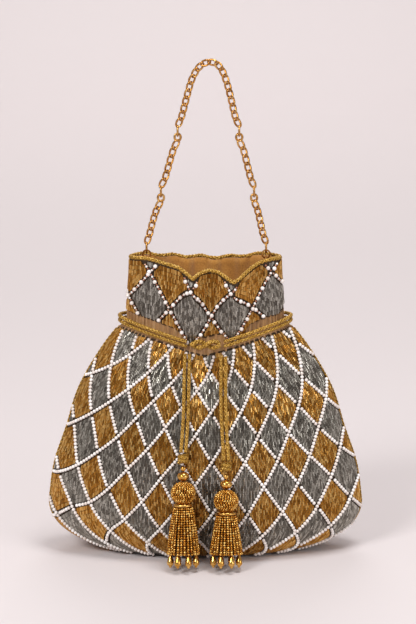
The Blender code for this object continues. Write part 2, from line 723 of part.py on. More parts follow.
def make_fitting(word, hinge):
    """Ring, spring clasp, D ring and sewn tab that carry one end of the chain inside the mouth."""
    centre = hinge - UP * RING_RADIUS
    ring = ring_mesh(centre, UP, SIDEWAYS, RING_RADIUS, RING_RADIUS, RING_WIRE, 0, 6, 14)
    object_of("jump_ring_" + word, ring, "gold")
    eye_top = hinge - UP * (2 * RING_RADIUS - RING_WIRE - GAP)
    eye = ring_mesh(eye_top - UP * EYE_RADIUS, UP, FORWARD, EYE_RADIUS, EYE_RADIUS, RING_WIRE, 0, 6, 12)
    stem = eye_top - UP * 2 * EYE_RADIUS
    barrel_line = [stem - UP * share * BARREL_LENGTH for share in (-0.06, 0.4, 1)]
    barrel = bent_wire("barrel", barrel_line, BARREL_RADIUS)
    wide = CLASP_HALF_WIDTH
    long = CLASP_LENGTH - 2 * EYE_RADIUS
    hook_shape = ((0, 0.22), (-0.7, 0.3), (-1, 0.42), (-1, 0.8), (-0.72, 0.95))
    hook_shape += ((0, 1), (0.72, 0.95), (1, 0.8), (1, 0.73))
    hook_line = in_plane(stem, [(a * wide, -b * long) for a, b in hook_shape])
    hook = bent_wire("hook", hook_line, CLASP_WIRE / 2)
    joined("clasp_body_" + word, [barrel, eye, hook], "gold")
    pivot_aside = BARREL_RADIUS + LEVER_WIRE / 2 + GAP / 2
    pivot_drop = BARREL_LENGTH + GAP
    swing = empty_at("clasp_pivot_" + word, in_plane(stem, [(pivot_aside, -pivot_drop)])[0])
    tip_drop = hook_shape[-1][1] * long - CLASP_WIRE / 2 - LEVER_WIRE - GAP - pivot_drop
    out = wide - pivot_aside
    gate = [(0, 0), (out * 0.72, -0.22 * tip_drop), (out, -0.5 * tip_drop), (out, -tip_drop)]
    lever = bent_wire("lever", in_plane(np.zeros(3), gate), LEVER_WIRE / 2)
    object_of("clasp_lever_" + word, lever, "gold", swing)
    bend_top = stem - UP * (long - CLASP_WIRE / 2)
    make_bail_and_tab(word, bend_top + UP * (RING_WIRE / 2 + GAP))


def make_bail_and_tab(word, crown):
    """The D ring hanging from the clasp's hook, and the cloth tab folded through it."""
    centre = crown - UP * BAIL_RADIUS
    angle = np.linspace(0, math.pi, 9)
    arc = [centre + BAIL_RADIUS * (SIDEWAYS * math.cos(a) + UP * math.sin(a)) for a in angle]
    low = centre - UP * BAIL_DROP
    bar = [low + SIDEWAYS * BAIL_RADIUS * share for share in (-1, -0.4, 0.4, 1)]
    work = bmesh.new()
    sweep_loop(work, arc + bar, FORWARD, RING_WIRE, 6)
    object_of("d_ring_" + word, mesh_of("d_ring", work), "gold")
    make_tab(word, low)


def lining_front(x, z):
    """The y of the lining's inner face behind the front collar at a place."""
    across = 2 / math.pi * math.asin(np.clip(x / float(half_width(z)), -1, 1))
    height = z
    for _ in range(6):
        height += z - bag_surface(-1, across, height)[2]
    near = (-0.02, 0, 0.02)
    grid = np.array([bag_surface(-1, [across + a for a in near], height + b) for b in (-MM, 0, MM)])
    normal = normals_of(grid, False)[1, 1]
    depth = PANEL_WALL + LINING_EASE + LINING_WALL
    return float(grid[1, 1, 1] + depth / abs(normal[1]))


def make_tab(word, bar):
    """A folded strip round the D ring's bar, whose tail lies on the lining."""
    hole = RING_WIRE / 2 + GAP
    outside = hole + TAB_THICKNESS
    angles = np.linspace(math.radians(-60), math.radians(240), 11)
    loop_out = [(outside * math.cos(a), outside * math.sin(a)) for a in angles]
    foot = bar[2] - TAB_LENGTH
    rest = lining_front(bar[0], foot) + 7 * GAP - bar[1]
    tail = [(rest, -TAB_LENGTH), (rest + 2 * TAB_THICKNESS, -TAB_LENGTH)]
    work = bmesh.new()
    section = loop_out + tail
    front = [work.verts.new((bar[0] - TAB_WIDTH / 2, bar[1] + y, bar[2] + z)) for y, z in section]
    face = work.faces.new(front)
    grown = bmesh.ops.extrude_face_region(work, geom=[face])
    moved = [v for v in grown["geom"] if isinstance(v, bmesh.types.BMVert)]
    bmesh.ops.translate(work, verts=moved, vec=(TAB_WIDTH, 0, 0))
    whole = object_of("strap_tab_" + word, mesh_of("strap_tab", work), "suede", smooth=False)
    bore = bent_wire("tab_bore", [bar - [TAB_WIDTH, 0, 0], bar + [TAB_WIDTH, 0, 0]], hole)
    cutter = object_of("tab_bore_" + word, bore, "suede")
    cutter.hide_render = True
    cutter.display_type = "WIRE"
    cut = whole.modifiers.new("bar_hole", "BOOLEAN")
    cut.operation = "DIFFERENCE"
    cut.solver = "EXACT"
    cut.object = cutter


def main():
    clear_scene()
    make_panels()
    make_neck_band()
    make_collars()
    make_lining()
    make_piping()
    make_rim_braid()
    make_neck_cord()
    make_knot()
    make_hanging_cords()
    left, right = make_chain()
    make_fitting("left", left)
    make_fitting("right", right)


main()
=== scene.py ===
# %% [markdown]
# # A beaded drawstring pouch
#
# This lesson dresses a small evening pouch. Its measured solids come in as a fixed frame, and each
# cloth, cord and bead is then made over them, in metres, with the front of the bag facing -Y.

# %% Load the frame
import json
import math

import bmesh
import bpy
import numpy as np
from mathutils import Matrix, Vector

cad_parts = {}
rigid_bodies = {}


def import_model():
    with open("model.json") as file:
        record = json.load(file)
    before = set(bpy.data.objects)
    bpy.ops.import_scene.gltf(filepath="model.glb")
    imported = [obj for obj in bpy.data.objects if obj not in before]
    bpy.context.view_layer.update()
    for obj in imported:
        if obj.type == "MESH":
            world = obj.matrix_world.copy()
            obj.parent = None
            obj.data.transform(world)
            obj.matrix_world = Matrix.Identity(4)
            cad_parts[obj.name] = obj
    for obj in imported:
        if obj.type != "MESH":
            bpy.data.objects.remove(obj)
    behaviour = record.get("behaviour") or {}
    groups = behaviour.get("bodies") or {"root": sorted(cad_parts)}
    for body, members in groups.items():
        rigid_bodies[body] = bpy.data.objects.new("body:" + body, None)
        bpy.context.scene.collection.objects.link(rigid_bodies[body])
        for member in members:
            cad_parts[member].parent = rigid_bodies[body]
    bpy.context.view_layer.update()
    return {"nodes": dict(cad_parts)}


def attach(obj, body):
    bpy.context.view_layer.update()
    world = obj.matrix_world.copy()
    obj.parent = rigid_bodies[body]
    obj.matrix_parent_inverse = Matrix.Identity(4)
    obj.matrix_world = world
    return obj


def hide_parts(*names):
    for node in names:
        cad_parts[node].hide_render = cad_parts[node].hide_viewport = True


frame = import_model()
MM = 0.001

# %% [markdown]
# ## Colours and nodes
#
# Colours are read off a screen as hex values, which are sRGB, while Blender's shaders add light
# and so want linear numbers. One function makes that turn, so that every colour below can stay in
# the form in which a colour picker gives it. A second one adds a node with its settings and links
# in one call, which keeps each material's recipe short enough to read.

# %% Colour and node helpers
def colour(hex_code):
    """An sRGB hex colour as the linear RGBA that shaders read."""
    shares = [int(hex_code[k : k + 2], 16) / 255 for k in (1, 3, 5)]
    return (*[s / 12.92 if s <= 0.04045 else ((s + 0.055) / 1.055) ** 2.4 for s in shares], 1.0)


def add_node(material, kind, settings=None, **inputs):
    """Add a node: settings are its own properties, inputs are numbers, colours or output sockets."""
    node = material.node_tree.nodes.new(kind)
    for key, value in (settings or {}).items():
        setattr(node, key, value)
    for key, value in inputs.items():
        socket = node.inputs[int(key[1:])] if key[1:].isdigit() else node.inputs[key.replace("_", " ")]
        if isinstance(value, bpy.types.NodeSocket):
            material.node_tree.links.new(value, socket)
        else:
            socket.default_value = value
    return node


def new_material(name):
    """An empty node material with its shader and output, and the shader."""
    material = bpy.data.materials.new(name)
    material.use_nodes = True
    return material, material.node_tree.nodes["Principled BSDF"]


def ramp(material, factor, *stops):
    """Colours along a factor, given as (place, hex) stops."""
    node = add_node(material, "ShaderNodeValToRGB", None, Fac=factor)
    points = node.color_ramp.elements
    while len(points) < len(stops):
        points.new(0.5)
    for point, (place, hex_code) in zip(points, stops):
        point.position = place
        point.color = colour(hex_code)
    return node.outputs["Color"]


print("a colour turned to linear:", [round(c, 3) for c in colour("#A8711E")])

# %% [markdown]
# ## The camera
#
# The bag is seen straight on from a little above, so the camera stands in front, higher than the
# middle of the bag, and is aimed at it. The lens is set from the height of the frame at the bag,
# which is 624 pixels of about 0.77 mm.

# %% Camera
CAMERA_AWAY = 2000 * MM
CAMERA_HEIGHT = 619 * MM
AIM = Vector((2 * MM, 0, 184.9 * MM))
FRAME_HEIGHT = 474.3 * MM

camera_data = bpy.data.cameras.new("camera")
camera = bpy.data.objects.new("camera", camera_data)
bpy.context.scene.collection.objects.link(camera)
camera.location = (AIM.x, -CAMERA_AWAY, CAMERA_HEIGHT)
camera.rotation_euler = (AIM - camera.location).to_track_quat("-Z", "Y").to_euler()
camera_data.sensor_fit = "VERTICAL"
camera_data.sensor_height = 24
camera_data.lens = camera_data.sensor_height * (AIM - camera.location).length / FRAME_HEIGHT
camera_data.clip_start = 0.05
bpy.context.scene.camera = camera
print("lens in mm:", round(camera_data.lens, 1))

# %% [markdown]
# ## Floor and light
#
# A studio sweep is a floor that curves up into its backdrop, so that no line shows behind the bag.
# It could be a big plane and a bright world, but the sweep also keeps a soft shadow on the right.
# To the camera, and in the metal, it shows as plain pale paper. Its wall stands farther off than
# the camera, so that the bag can be looked at from behind, and a lamp of its own washes it.

# %% Sweep
def make_sweep():
    """A paper sweep: floor, curve and backdrop, extruded from one profile."""
    work = bmesh.new()
    bend = [(-3.2, 0), (2.4, 0)]
    turn = [math.radians(a) for a in range(10, 91, 10)]
    bend += [(2.4 + 0.8 * math.sin(a), 0.8 * (1 - math.cos(a))) for a in turn] + [(3.2, 4.0)]
    line = [work.verts.new((-4, y, z)) for y, z in bend]
    edges = [work.edges.new(pair) for pair in zip(line, line[1:])]
    grown = bmesh.ops.extrude_edge_only(work, edges=edges)["geom"]
    moved = [g for g in grown if isinstance(g, bmesh.types.BMVert)]
    bmesh.ops.translate(work, verts=moved, vec=(8, 0, 0))
    bmesh.ops.recalc_face_normals(work, faces=work.faces)
    mesh = bpy.data.meshes.new("paper_sweep")
    work.to_mesh(mesh)
    work.free()
    mesh.shade_smooth()
    sweep = bpy.data.objects.new("paper_sweep", mesh)
    bpy.context.scene.collection.objects.link(sweep)
    return sweep


sweep = make_sweep()
paper, paper_shader = new_material("matt_studio_paper")
paper_shader.inputs["Base Color"].default_value = colour("#DAD2D2")
paper_shader.inputs["Roughness"].default_value = 0.9
sweep.data.materials.append(paper)
print("sweep faces:", len(sweep.data.polygons))

# %% Lamps and world
def softbox(name, place, aim, size, watts, hex_code="#FFFFFF"):
    """A square area lamp that looks at a point."""
    data = bpy.data.lights.new(name, "AREA")
    data.size = size
    data.energy = watts
    data.color = colour(hex_code)[:3]
    lamp = bpy.data.objects.new(name, data)
    bpy.context.scene.collection.objects.link(lamp)
    lamp.location = place
    lamp.rotation_euler = (Vector(aim) - Vector(place)).to_track_quat("-Z", "Y").to_euler()
    return lamp


softbox("key_softbox", (-1.1, -1.5, 1.5), (0, 0, 0.15), 0.7, 26)
softbox("top_softbox", (0.3, -0.2, 1.7), (0, 0, 0.1), 0.6, 12)
softbox("right_fill", (1.5, -1.3, 0.7), (0, 0, 0.15), 0.8, 7)
softbox("backdrop_wash", (0, 2.4, 2.2), (0, 2.4, 0), 1.6, 32)
world = bpy.data.worlds.new("studio")
bpy.context.scene.world = world
world.use_nodes = True
sky = world.node_tree.nodes["Background"]
sky.inputs["Color"].default_value = colour("#F2ECEC")
sky.inputs["Strength"].default_value = 0.45
bpy.context.scene.view_settings.view_transform = "Standard"
# %% [markdown]
# ## The bag's form
#
# A cloth bag could be sculpted by hand, but its beads have to follow it in rows. So its surface is
# written as a rule: give a place across the bag and a height, and get a point. The sizes are those
# of the measured solids, and the gathers are a few numbers that a smooth curve runs through.

# %% Sizes and folds
BODY_WIDTH = 240 * MM
BELLY_HEIGHT = 38 * MM
BODY_DEPTH = 94 * MM
BASE_WIDTH = 108 * MM
BASE_DEPTH = 54 * MM
NECK_HEIGHT = 181 * MM
NECK_WIDTH = 121 * MM
NECK_DEPTH = 39 * MM
RIM_HEIGHT = 228 * MM
RIM_WIDTH = 116 * MM
RIM_DEPTH = 48 * MM
CORNER_POWER = 2.2
SECTION_POWER = 1.2
GAP = 0.3 * MM
PANEL_WALL = 1.3 * MM
LINING_WALL = 0.7 * MM
LINING_EASE = 1.9 * MM
LINING_FOLD_SHARE = 0.15
PIPING_RADIUS = 1.2 * MM
BRAID_RADIUS = 1.7 * MM
BAND_HEIGHT = 17 * MM
FRONT_DIP = 20 * MM
BACK_DIP = 4 * MM
PLEAT_START = 105 * MM
NECK_FOLD_SHARE = 0.3
WIDTH_STEPS = ((0.0, 1.0), (0.2, 0.93), (0.4, 0.77), (0.62, 0.6), (0.85, 0.28), (1.0, 0.0))
DEPTH_STEPS = ((0.0, 1.0), (0.3, 0.86), (0.55, 0.6), (0.8, 0.27), (1.0, 0.0))
# Each fold: its place across, how far it stands out and how far its rim droops, in mm
FRONT_FOLDS = (
    (-1.0, 0.0, 1.0), (-0.76, 0.0, 0.0), (-0.53, -0.5, 3.0), (-0.30, 1.5, 7.0), (-0.17, 6.0, 13.0),
    (-0.03, -5.0, 9.5), (0.11, -5.5, 8.5), (0.25, 2.0, 12.5), (0.38, 6.5, 16.0), (0.52, 1.5, 10.5),
    (0.70, -4.0, 4.0), (0.86, 0.5, 1.0), (1.0, 0.0, 1.5),
)
BACK_FOLDS = (
    (-1.0, 0.0, 1.0), (-0.78, 1.0, 1.0), (-0.6, -3.5, 3.0), (-0.42, 2.0, 3.5), (-0.25, -4.0, 5.0),
    (-0.06, 3.5, 5.0), (0.12, -4.0, 6.0), (0.32, 3.5, 5.0), (0.5, -4.0, 4.0), (0.68, 2.0, 2.0),
    (0.84, -1.0, 1.0), (1.0, 0.0, 1.5),
)
print("front folds:", len(FRONT_FOLDS), "back folds:", len(BACK_FOLDS))


# %% The rule of the surface
def through(points, at):
    """A smooth curve through (place, value, ...) points: cubic pieces with level-headed slopes."""
    points = np.array(points, float)
    x = points[:, 0]
    y = points[:, 1:]
    rise = np.diff(y, axis=0) / np.diff(x)[:, None]
    slope = np.vstack([rise[:1], (rise[1:] + rise[:-1]) / 2, rise[-1:]])
    at = np.clip(np.asarray(at, float), x[0], x[-1])
    i = np.clip(np.searchsorted(x, at, side="right") - 1, 0, len(x) - 2)
    step = (x[i + 1] - x[i])[..., None]
    t = ((at - x[i]) / (x[i + 1] - x[i]))[..., None]
    start = y[i] * (2 * t**3 - 3 * t**2 + 1) + slope[i] * step * (t**3 - 2 * t**2 + t)
    end = y[i + 1] * (3 * t**2 - 2 * t**3) + slope[i + 1] * step * (t**3 - t**2)
    return start + end


def smooth_line(points, spacing):
    """Points about spacing apart along a smooth curve through the route's own points."""
    points = np.array(points, float)
    along = np.concatenate([[0], np.cumsum(np.linalg.norm(np.diff(points, axis=0), axis=1))])
    fine = through(np.column_stack([along, points]), np.linspace(0, along[-1], 400))
    return spaced(fine, spacing)


def spaced(line, spacing):
    along = np.concatenate([[0], np.cumsum(np.linalg.norm(np.diff(line, axis=0), axis=1))])
    count = max(2, round(along[-1] / spacing) + 1)
    at = np.linspace(0, along[-1], count)
    return np.column_stack([np.interp(at, along, line[:, k]) for k in range(line.shape[1])])


def smooth_step(t):
    t = np.clip(t, 0, 1)
    return t * t * (3 - 2 * t)


def profile(height, base, belly, neck, rim, steps):
    """A half width or half depth at a height: round corner, belly, taper to the neck, mouth."""
    height = np.asarray(height, float)
    low = np.clip(1 - height / BELLY_HEIGHT, 0, 1)
    corner = base + (belly - base) * (1 - low**CORNER_POWER) ** (1 / CORNER_POWER)
    share = through(steps, (height - BELLY_HEIGHT) / (NECK_HEIGHT - BELLY_HEIGHT))[..., 0]
    taper = neck + (belly - neck) * share
    mouth = neck + (rim - neck) * smooth_step((height - NECK_HEIGHT) / (RIM_HEIGHT - NECK_HEIGHT))
    upper = np.where(height < NECK_HEIGHT, taper, mouth)
    return np.where(height < BELLY_HEIGHT, corner, upper)


def half_width(height):
    sizes = (BASE_WIDTH / 2, BODY_WIDTH / 2, NECK_WIDTH / 2, RIM_WIDTH / 2)
    return profile(height, *sizes, WIDTH_STEPS)


def half_depth(height):
    sizes = (BASE_DEPTH / 2, BODY_DEPTH / 2, NECK_DEPTH / 2, RIM_DEPTH / 2)
    return profile(height, *sizes, DEPTH_STEPS)


def bag_surface(side, across, height, outward=1.0):
    """Points of the bag's outer surface: side is -1 in front, across runs seam to seam.

    Folds that stand out are kept to the share outward, for the lining that doesn't fill them.
    """
    across, height = np.broadcast_arrays(np.asarray(across, float), np.asarray(height, float))
    folds, dip = (FRONT_FOLDS, FRONT_DIP) if side < 0 else (BACK_FOLDS, BACK_DIP)
    angle = across * math.pi / 2
    width = np.sin(angle)
    fold = through(folds, width)
    seam = PIPING_RADIUS + GAP
    bulge = np.cos(angle) ** SECTION_POWER
    deep = seam + (half_depth(height) - seam) * bulge
    low = NECK_FOLD_SHARE * smooth_step((height - PLEAT_START) / (NECK_HEIGHT - PLEAT_START))
    high = (1 - NECK_FOLD_SHARE) * smooth_step((height - NECK_HEIGHT) / (RIM_HEIGHT - NECK_HEIGHT))
    stands = np.where(fold[..., 0] > 0, outward, 1.0) * fold[..., 0]
    deep = deep + stands * MM * (low + high)
    drop = dip * (1 - np.abs(width)) * smooth_step((height - PLEAT_START) / (NECK_HEIGHT - PLEAT_START))
    up = np.clip((height - NECK_HEIGHT) / (RIM_HEIGHT - NECK_HEIGHT), 0, 1)
    drop = drop * (1 - up) + fold[..., 1] * MM * up
    return np.stack([half_width(height) * width, side * deep, height - drop], axis=-1)


def normals_of(grid, wrap):
    """Outward directions at each point of a grid whose rows go up and whose columns go round."""
    if wrap:
        round_way = np.roll(grid, -1, axis=1) - np.roll(grid, 1, axis=1)
    else:
        round_way = np.gradient(grid, axis=1)
    normal = np.cross(round_way, np.gradient(grid, axis=0))
    return normal / np.maximum(np.linalg.norm(normal, axis=-1, keepdims=True), 1e-12)


def ring_grid(heights, columns, outward=1.0):
    """Rows of points right round the bag, starting at the left seam and passing the front."""
    across = (np.arange(columns) + 0.5) / columns * 2 - 1
    sides = ((-1, across), (1, across[::-1]))
    return np.array([np.vstack([bag_surface(s, a, h, outward) for s, a in sides]) for h in heights])


print("widest point in mm:", (bag_surface(-1, 1, BELLY_HEIGHT) / MM).round(1))

# %% [markdown]
# ## Cloth under the beads
#
# The panels are a backing cloth on which thousands of glass beads are sewn. The cloth only shows in
# the gaps between them, and its dark there is partly its own colour and partly painted shade. A grid
# made by one operator is laid on the surface rule, a little below it, so that the beads sit in the
# place of the solid's outer face.

# %% Lay a grid on the bag
def finished(name, mesh, material, smooth=True):
    """An object for a mesh that is in place, with its material."""
    if smooth:
        mesh.shade_smooth()
    else:
        mesh.shade_flat()
    mesh.materials.clear()
    mesh.materials.append(material)
    piece = bpy.data.objects.new(name, mesh)
    bpy.context.scene.collection.objects.link(piece)
    return piece


CLOTH_SIZES = {}


def laid_grid(name, rows, columns, place):
    """A grid mesh whose vertices are moved to place(across 0 to 1, up 0 to 1), with a UV map in mm."""
    work = bmesh.new()
    bmesh.ops.create_grid(work, x_segments=columns, y_segments=rows, size=0.5)
    work.verts.ensure_lookup_table()
    flat = np.array([v.co[:] for v in work.verts]) + 0.5
    points = place(flat[:, 0], flat[:, 1])
    threads = points.reshape(rows + 1, columns + 1, 3)
    across_threads = np.linalg.norm(np.diff(threads, axis=1), axis=2).sum(1)
    up_threads = np.linalg.norm(np.diff(threads, axis=0), axis=2).sum(0)
    CLOTH_SIZES[name] = (float(across_threads.max()), float(up_threads.max()))
    for vert, point in zip(work.verts, points):
        vert.co = point
    uv = work.loops.layers.uv.new("cloth")
    for face in work.faces:
        for loop in face.loops:
            loop[uv].uv = flat[loop.vert.index, :2]
    mesh = bpy.data.meshes.new(name)
    work.to_mesh(mesh)
    work.free()
    return mesh


def offset_surface(side, across, height, lift, outward=1.0):
    """Points at a lift from the bag's surface, and the outward directions there."""
    across, height = np.broadcast_arrays(np.asarray(across, float), np.asarray(height, float))
    here = bag_surface(side, across, height, outward)
    step_across = bag_surface(side, np.clip(across + 0.004, -1, 1), height, outward)
    step_across = step_across - bag_surface(side, np.clip(across - 0.004, -1, 1), height, outward)
    step_up = bag_surface(side, across, height + 0.4 * MM, outward)
    step_up = step_up - bag_surface(side, across, np.maximum(height - 0.4 * MM, 0), outward)
    normal = np.cross(step_across, step_up) * (-side)
    normal = normal / np.maximum(np.linalg.norm(normal, axis=-1, keepdims=True), 1e-12)
    return here + normal * lift, normal


PANEL_TOP = NECK_HEIGHT - BAND_HEIGHT / 2 + 3 * MM


def panel_place(side, lift):
    """The rule that lays a panel's grid: the strip on the ground first, then up to the neck."""

    def place(across, up):
        across = (across * 2 - 1) * -side
        strip = np.clip(1 - up / 0.06, 0, 1)
        share = np.clip((up - 0.06) / 0.94, 0, 1)
        height = PANEL_TOP * share**1.35
        points, _ = offset_surface(side, across, height, lift)
        seam = points.copy()
        seam[:, 1] = side * (PIPING_RADIUS + GAP)
        points = points + (seam - points) * strip[:, None]
        points[:, 2] = np.where(strip > 0, -lift, np.maximum(points[:, 2], -lift))
        return points

    return place


# Dark brown: partly the cloth's own colour, partly painted shade for the gaps between the beads
cloth, cloth_shader = new_material("dark_backing_cloth")
cloth_shader.inputs["Base Color"].default_value = colour("#3B2A17")
cloth_shader.inputs["Roughness"].default_value = 0.85
CLOTH_LIFT = -0.9 * MM
for side, node in ((-1, "front_panel"), (1, "back_panel")):
    mesh = laid_grid(node + "_cloth", 70, 120, panel_place(side, CLOTH_LIFT))
    panel = finished(node + "_cloth", mesh, cloth)
    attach(panel, "bag")
    print(node, "cloth faces:", len(mesh.polygons))

# %% [markdown]
# ## The harlequin lattice
#
# The panels are worked in a lattice of upright diamonds. Strings of pearls draw the lattice, and
# each diamond is filled with columns of bugle beads, gold in one row and pewter in the next. The
# lattice is counted in half diamonds: a column number across and a row number up. Two short tables
# turn those into a place on the cloth, and the last one lets the rows climb towards the left seam.

# %% From lattice to cloth
COLUMN_STEP = 0.111
FIRST_COLUMN = 0.042
ROW_HEIGHTS = (
    (-5, -89), (-4, -70), (-3, -51), (-2, -32), (-1, -13), (0, 6), (1, 20.6), (2, 38.9), (3, 59.5),
    (4, 78.6), (5, 97.7), (6, 116.5), (7, 137.5), (8, 161), (9, 186), (10, 212),
)
FRONT_CLIMB = (
    (-1.0, 46), (-0.87, 34), (-0.69, 20), (-0.47, 10.5), (-0.25, 5), (0, 0), (0.76, 2), (1.0, 6),
)
BACK_CLIMB = ((-1.0, 6), (-0.6, 1), (0, 0), (0.6, 1), (1.0, 6))


def panel_lattice(side):
    """The rule from (column, row) in half diamonds to (across, height) on a panel."""
    climb = FRONT_CLIMB if side < 0 else BACK_CLIMB

    def place(column, row):
        share = np.clip(FIRST_COLUMN + COLUMN_STEP * np.asarray(column, float), -0.9999, 0.9999)
        height = through(ROW_HEIGHTS, row)[..., 0] + through(climb, share)[..., 0]
        return np.arcsin(share) * 2 / math.pi, height * MM

    return place


print("a diamond's half width at the belly in mm:", round(COLUMN_STEP * BODY_WIDTH / 2 / MM, 1))

# %% [markdown]
# ## Sewing on a bead many times
#
# A bag like this has some twenty thousand beads. Each could be its own object, or a particle, but
# that is slow to handle and hard to export. Instead one bead is made with operators, and a helper
# writes all its copies into one mesh, each turned to lie on the cloth, with a number of its own
# that later varies its colour. The bead itself is kept to a few faces.

# %% One bead, copied
def bead_mesh(kind):
    """One bead about its own middle: a bugle is 1 long, a pearl or seed bead 1 across."""
    work = bmesh.new()
    if kind == "bugle":
        bmesh.ops.create_cone(work, cap_ends=True, segments=6, radius1=0.5, radius2=0.5, depth=1)
    else:
        bmesh.ops.create_uvsphere(work, u_segments=8, v_segments=5, radius=0.5)
    mesh = bpy.data.meshes.new(kind)
    work.to_mesh(mesh)
    work.free()
    return mesh


def copies_of(name, bead, centres, turns, lots, material, smooth):
    """One object with a copy of the bead at each centre, turned and sized by its 3x3 matrix."""
    corners = np.array([v.co[:] for v in bead.vertices])
    points = np.einsum("nij,mj->nmi", turns, corners) + centres[:, None]
    loops = np.array([loop.vertex_index for loop in bead.loops])
    starts = np.array([face.loop_start for face in bead.polygons])
    count = len(centres)
    number = np.arange(count)[:, None]
    mesh = bpy.data.meshes.new(name)
    mesh.vertices.add(count * len(corners))
    mesh.vertices.foreach_set("co", points.ravel().astype(np.float32))
    mesh.loops.add(count * len(loops))
    mesh.loops.foreach_set("vertex_index", (loops + number * len(corners)).ravel().astype(np.int32))
    mesh.polygons.add(count * len(starts))
    mesh.polygons.foreach_set("loop_start", (starts + number * len(loops)).ravel().astype(np.int32))
    mesh.update(calc_edges=True)
    lot = mesh.attributes.new("lot", "FLOAT", "POINT")
    lot.data.foreach_set("value", np.repeat(lots, len(corners)).astype(np.float32))
    return finished(name, mesh, material, smooth)


bugle = bead_mesh("bugle")
pearl = bead_mesh("pearl")
print("faces of a bugle and a pearl:", len(bugle.polygons), len(pearl.polygons))

# %% [markdown]
# ## Filling the diamonds
#
# Bugle beads are short glass tubes. The sewer fills each diamond with upright columns of them, end
# to end, so the columns fan with the cloth. For each diamond, the number of columns comes from its
# real width and the number of beads in a column from its real length.

# %% Lay the bugle beads
BUGLE_WIDTH = 1.12 * MM
BUGLE_LENGTH = 3.5 * MM
BEAD_LIFT = -0.35 * MM
EDGE_MARGIN = 0.13
SEAM_SHARE = 0.9995
BEAD_GAP = 0.28 * MM
rng = np.random.default_rng(7)


def bugle_column(side, place, column, low, high, limits):
    """End points of the beads of one upright column between two rows, or nothing."""
    rows = np.linspace(low, high, 61)
    across, height = place(column, rows)
    inside = (height > limits[0]) & (height < limits[1])
    if inside.sum() < 3:
        return None
    rows = np.linspace(rows[inside][0], rows[inside][-1], 15)
    across, height = place(column, rows)
    points, normal = offset_surface(side, across, height, BEAD_LIFT)
    along = np.concatenate([[0], np.cumsum(np.linalg.norm(np.diff(points, axis=0), axis=1))])
    count = round(along[-1] / BUGLE_LENGTH)
    if count < 1:
        return None
    at = np.linspace(0, along[-1], count + 1)
    ends = np.column_stack([np.interp(at, along, points[:, k]) for k in range(3)])
    middle = (at[1:] + at[:-1]) / 2
    faces = np.column_stack([np.interp(middle, along, normal[:, k]) for k in range(3)])
    return ends[:-1], ends[1:], faces


def fill_diamonds(side, place, columns, rows, limits, gold_rows=0):
    """The beads of every diamond of a lattice, as {colour: (starts, ends, outward)}."""
    found = {"gold": [], "pewter": []}
    for i in columns:
        for j in rows:
            if (i + j) % 2 == 0:
                continue
            spread = np.linspace(-1, 1, 41)
            across, height = place(i + spread, np.full(41, float(j)))
            line, _ = offset_surface(side, np.clip(across, -SEAM_SHARE, SEAM_SHARE), height, 0)
            along = np.concatenate([[0], np.cumsum(np.linalg.norm(np.diff(line, axis=0), axis=1))])
            count = max(3, round(along[-1] / BUGLE_WIDTH))
            for aside in np.interp((np.arange(count) + 0.5) / count * along[-1], along, spread):
                reach = 1 - abs(aside) - EDGE_MARGIN
                edge = FIRST_COLUMN + COLUMN_STEP * (i + aside)
                if reach < 0.05 or (limits[2] and abs(edge) > limits[2]):
                    continue
                beads = bugle_column(side, place, i + aside, j - reach, j + reach, limits)
                if beads:
                    found["gold" if j % 2 == gold_rows else "pewter"].append(beads)
    return {key: [np.vstack(group) for group in zip(*value)] for key, value in found.items()}


def bead_frames(starts, ends, outward, width):
    """Centres and 3x3 turns of beads from end to end, each rolled and tipped a little."""
    along = ends - starts
    length = np.linalg.norm(along, axis=1, keepdims=True)
    along = along / length
    outward = outward + rng.normal(0, 0.05, outward.shape)
    aside = np.cross(outward, along)
    aside = aside / np.linalg.norm(aside, axis=1, keepdims=True)
    along = along + aside * rng.normal(0, 0.03, (len(along), 1))
    outward = np.cross(along, aside)
    roll = rng.uniform(0, math.pi / 3, (len(along), 1))
    one = aside * np.cos(roll) + outward * np.sin(roll)
    two = outward * np.cos(roll) - aside * np.sin(roll)
    turns = np.stack([one * width, two * width, along * (length - BEAD_GAP)], axis=-1)
    return (starts + ends) / 2, turns


PANEL_LIMITS = (2 * MM, PANEL_TOP - 1 * MM, SEAM_SHARE)
panel_beads = {}
for side in (-1, 1):
    panel_beads[side] = fill_diamonds(side, panel_lattice(side), range(-10, 10), range(-4, 10), PANEL_LIMITS)
for side, beads in panel_beads.items():
    print("side", side, "beads:", {key: len(value[0]) for key, value in beads.items()})
# %% [markdown]
# ## Bead finishes
#
# Bugle beads are glass tubes lined or plated with metal. What the eye gets is a hard, bright line
# down each bead and a dark one beside it, and no two beads alike. So they are metal with a low
# roughness, and each bead's own lot number picks its colour from a ramp. Pearls are glass with a
# nacre coat: pale, a little soft inside, with a clear gloss over it.

# %% Bead materials
def plated_glass(name, dark, middle, light, roughness):
    """Metal-plated glass whose colour follows each bead's lot number."""
    material, shader = new_material(name)
    lot = add_node(material, "ShaderNodeAttribute", {"attribute_name": "lot"}).outputs["Fac"]
    tint = ramp(material, lot, (0.0, dark), (0.45, middle), (1.0, light))
    material.node_tree.links.new(tint, shader.inputs["Base Color"])
    shader.inputs["Metallic"].default_value = 0.85
    shader.inputs["Roughness"].default_value = roughness
    return material


gold_bugle = plated_glass("gold_plated_glass_bugle", "#8A5A1E", "#C08838", "#E6BE74", 0.28)
pewter_bugle = plated_glass("pewter_plated_glass_bugle", "#68625A", "#8F8A80", "#C4C0B6", 0.28)
rose_seed = plated_glass("rose_copper_glass_seed_bead", "#9A6048", "#C48C74", "#E0B8A0", 0.3)
gold_seed = plated_glass("gold_plated_glass_seed_bead", "#8A5212", "#C4862C", "#ECC470", 0.25)

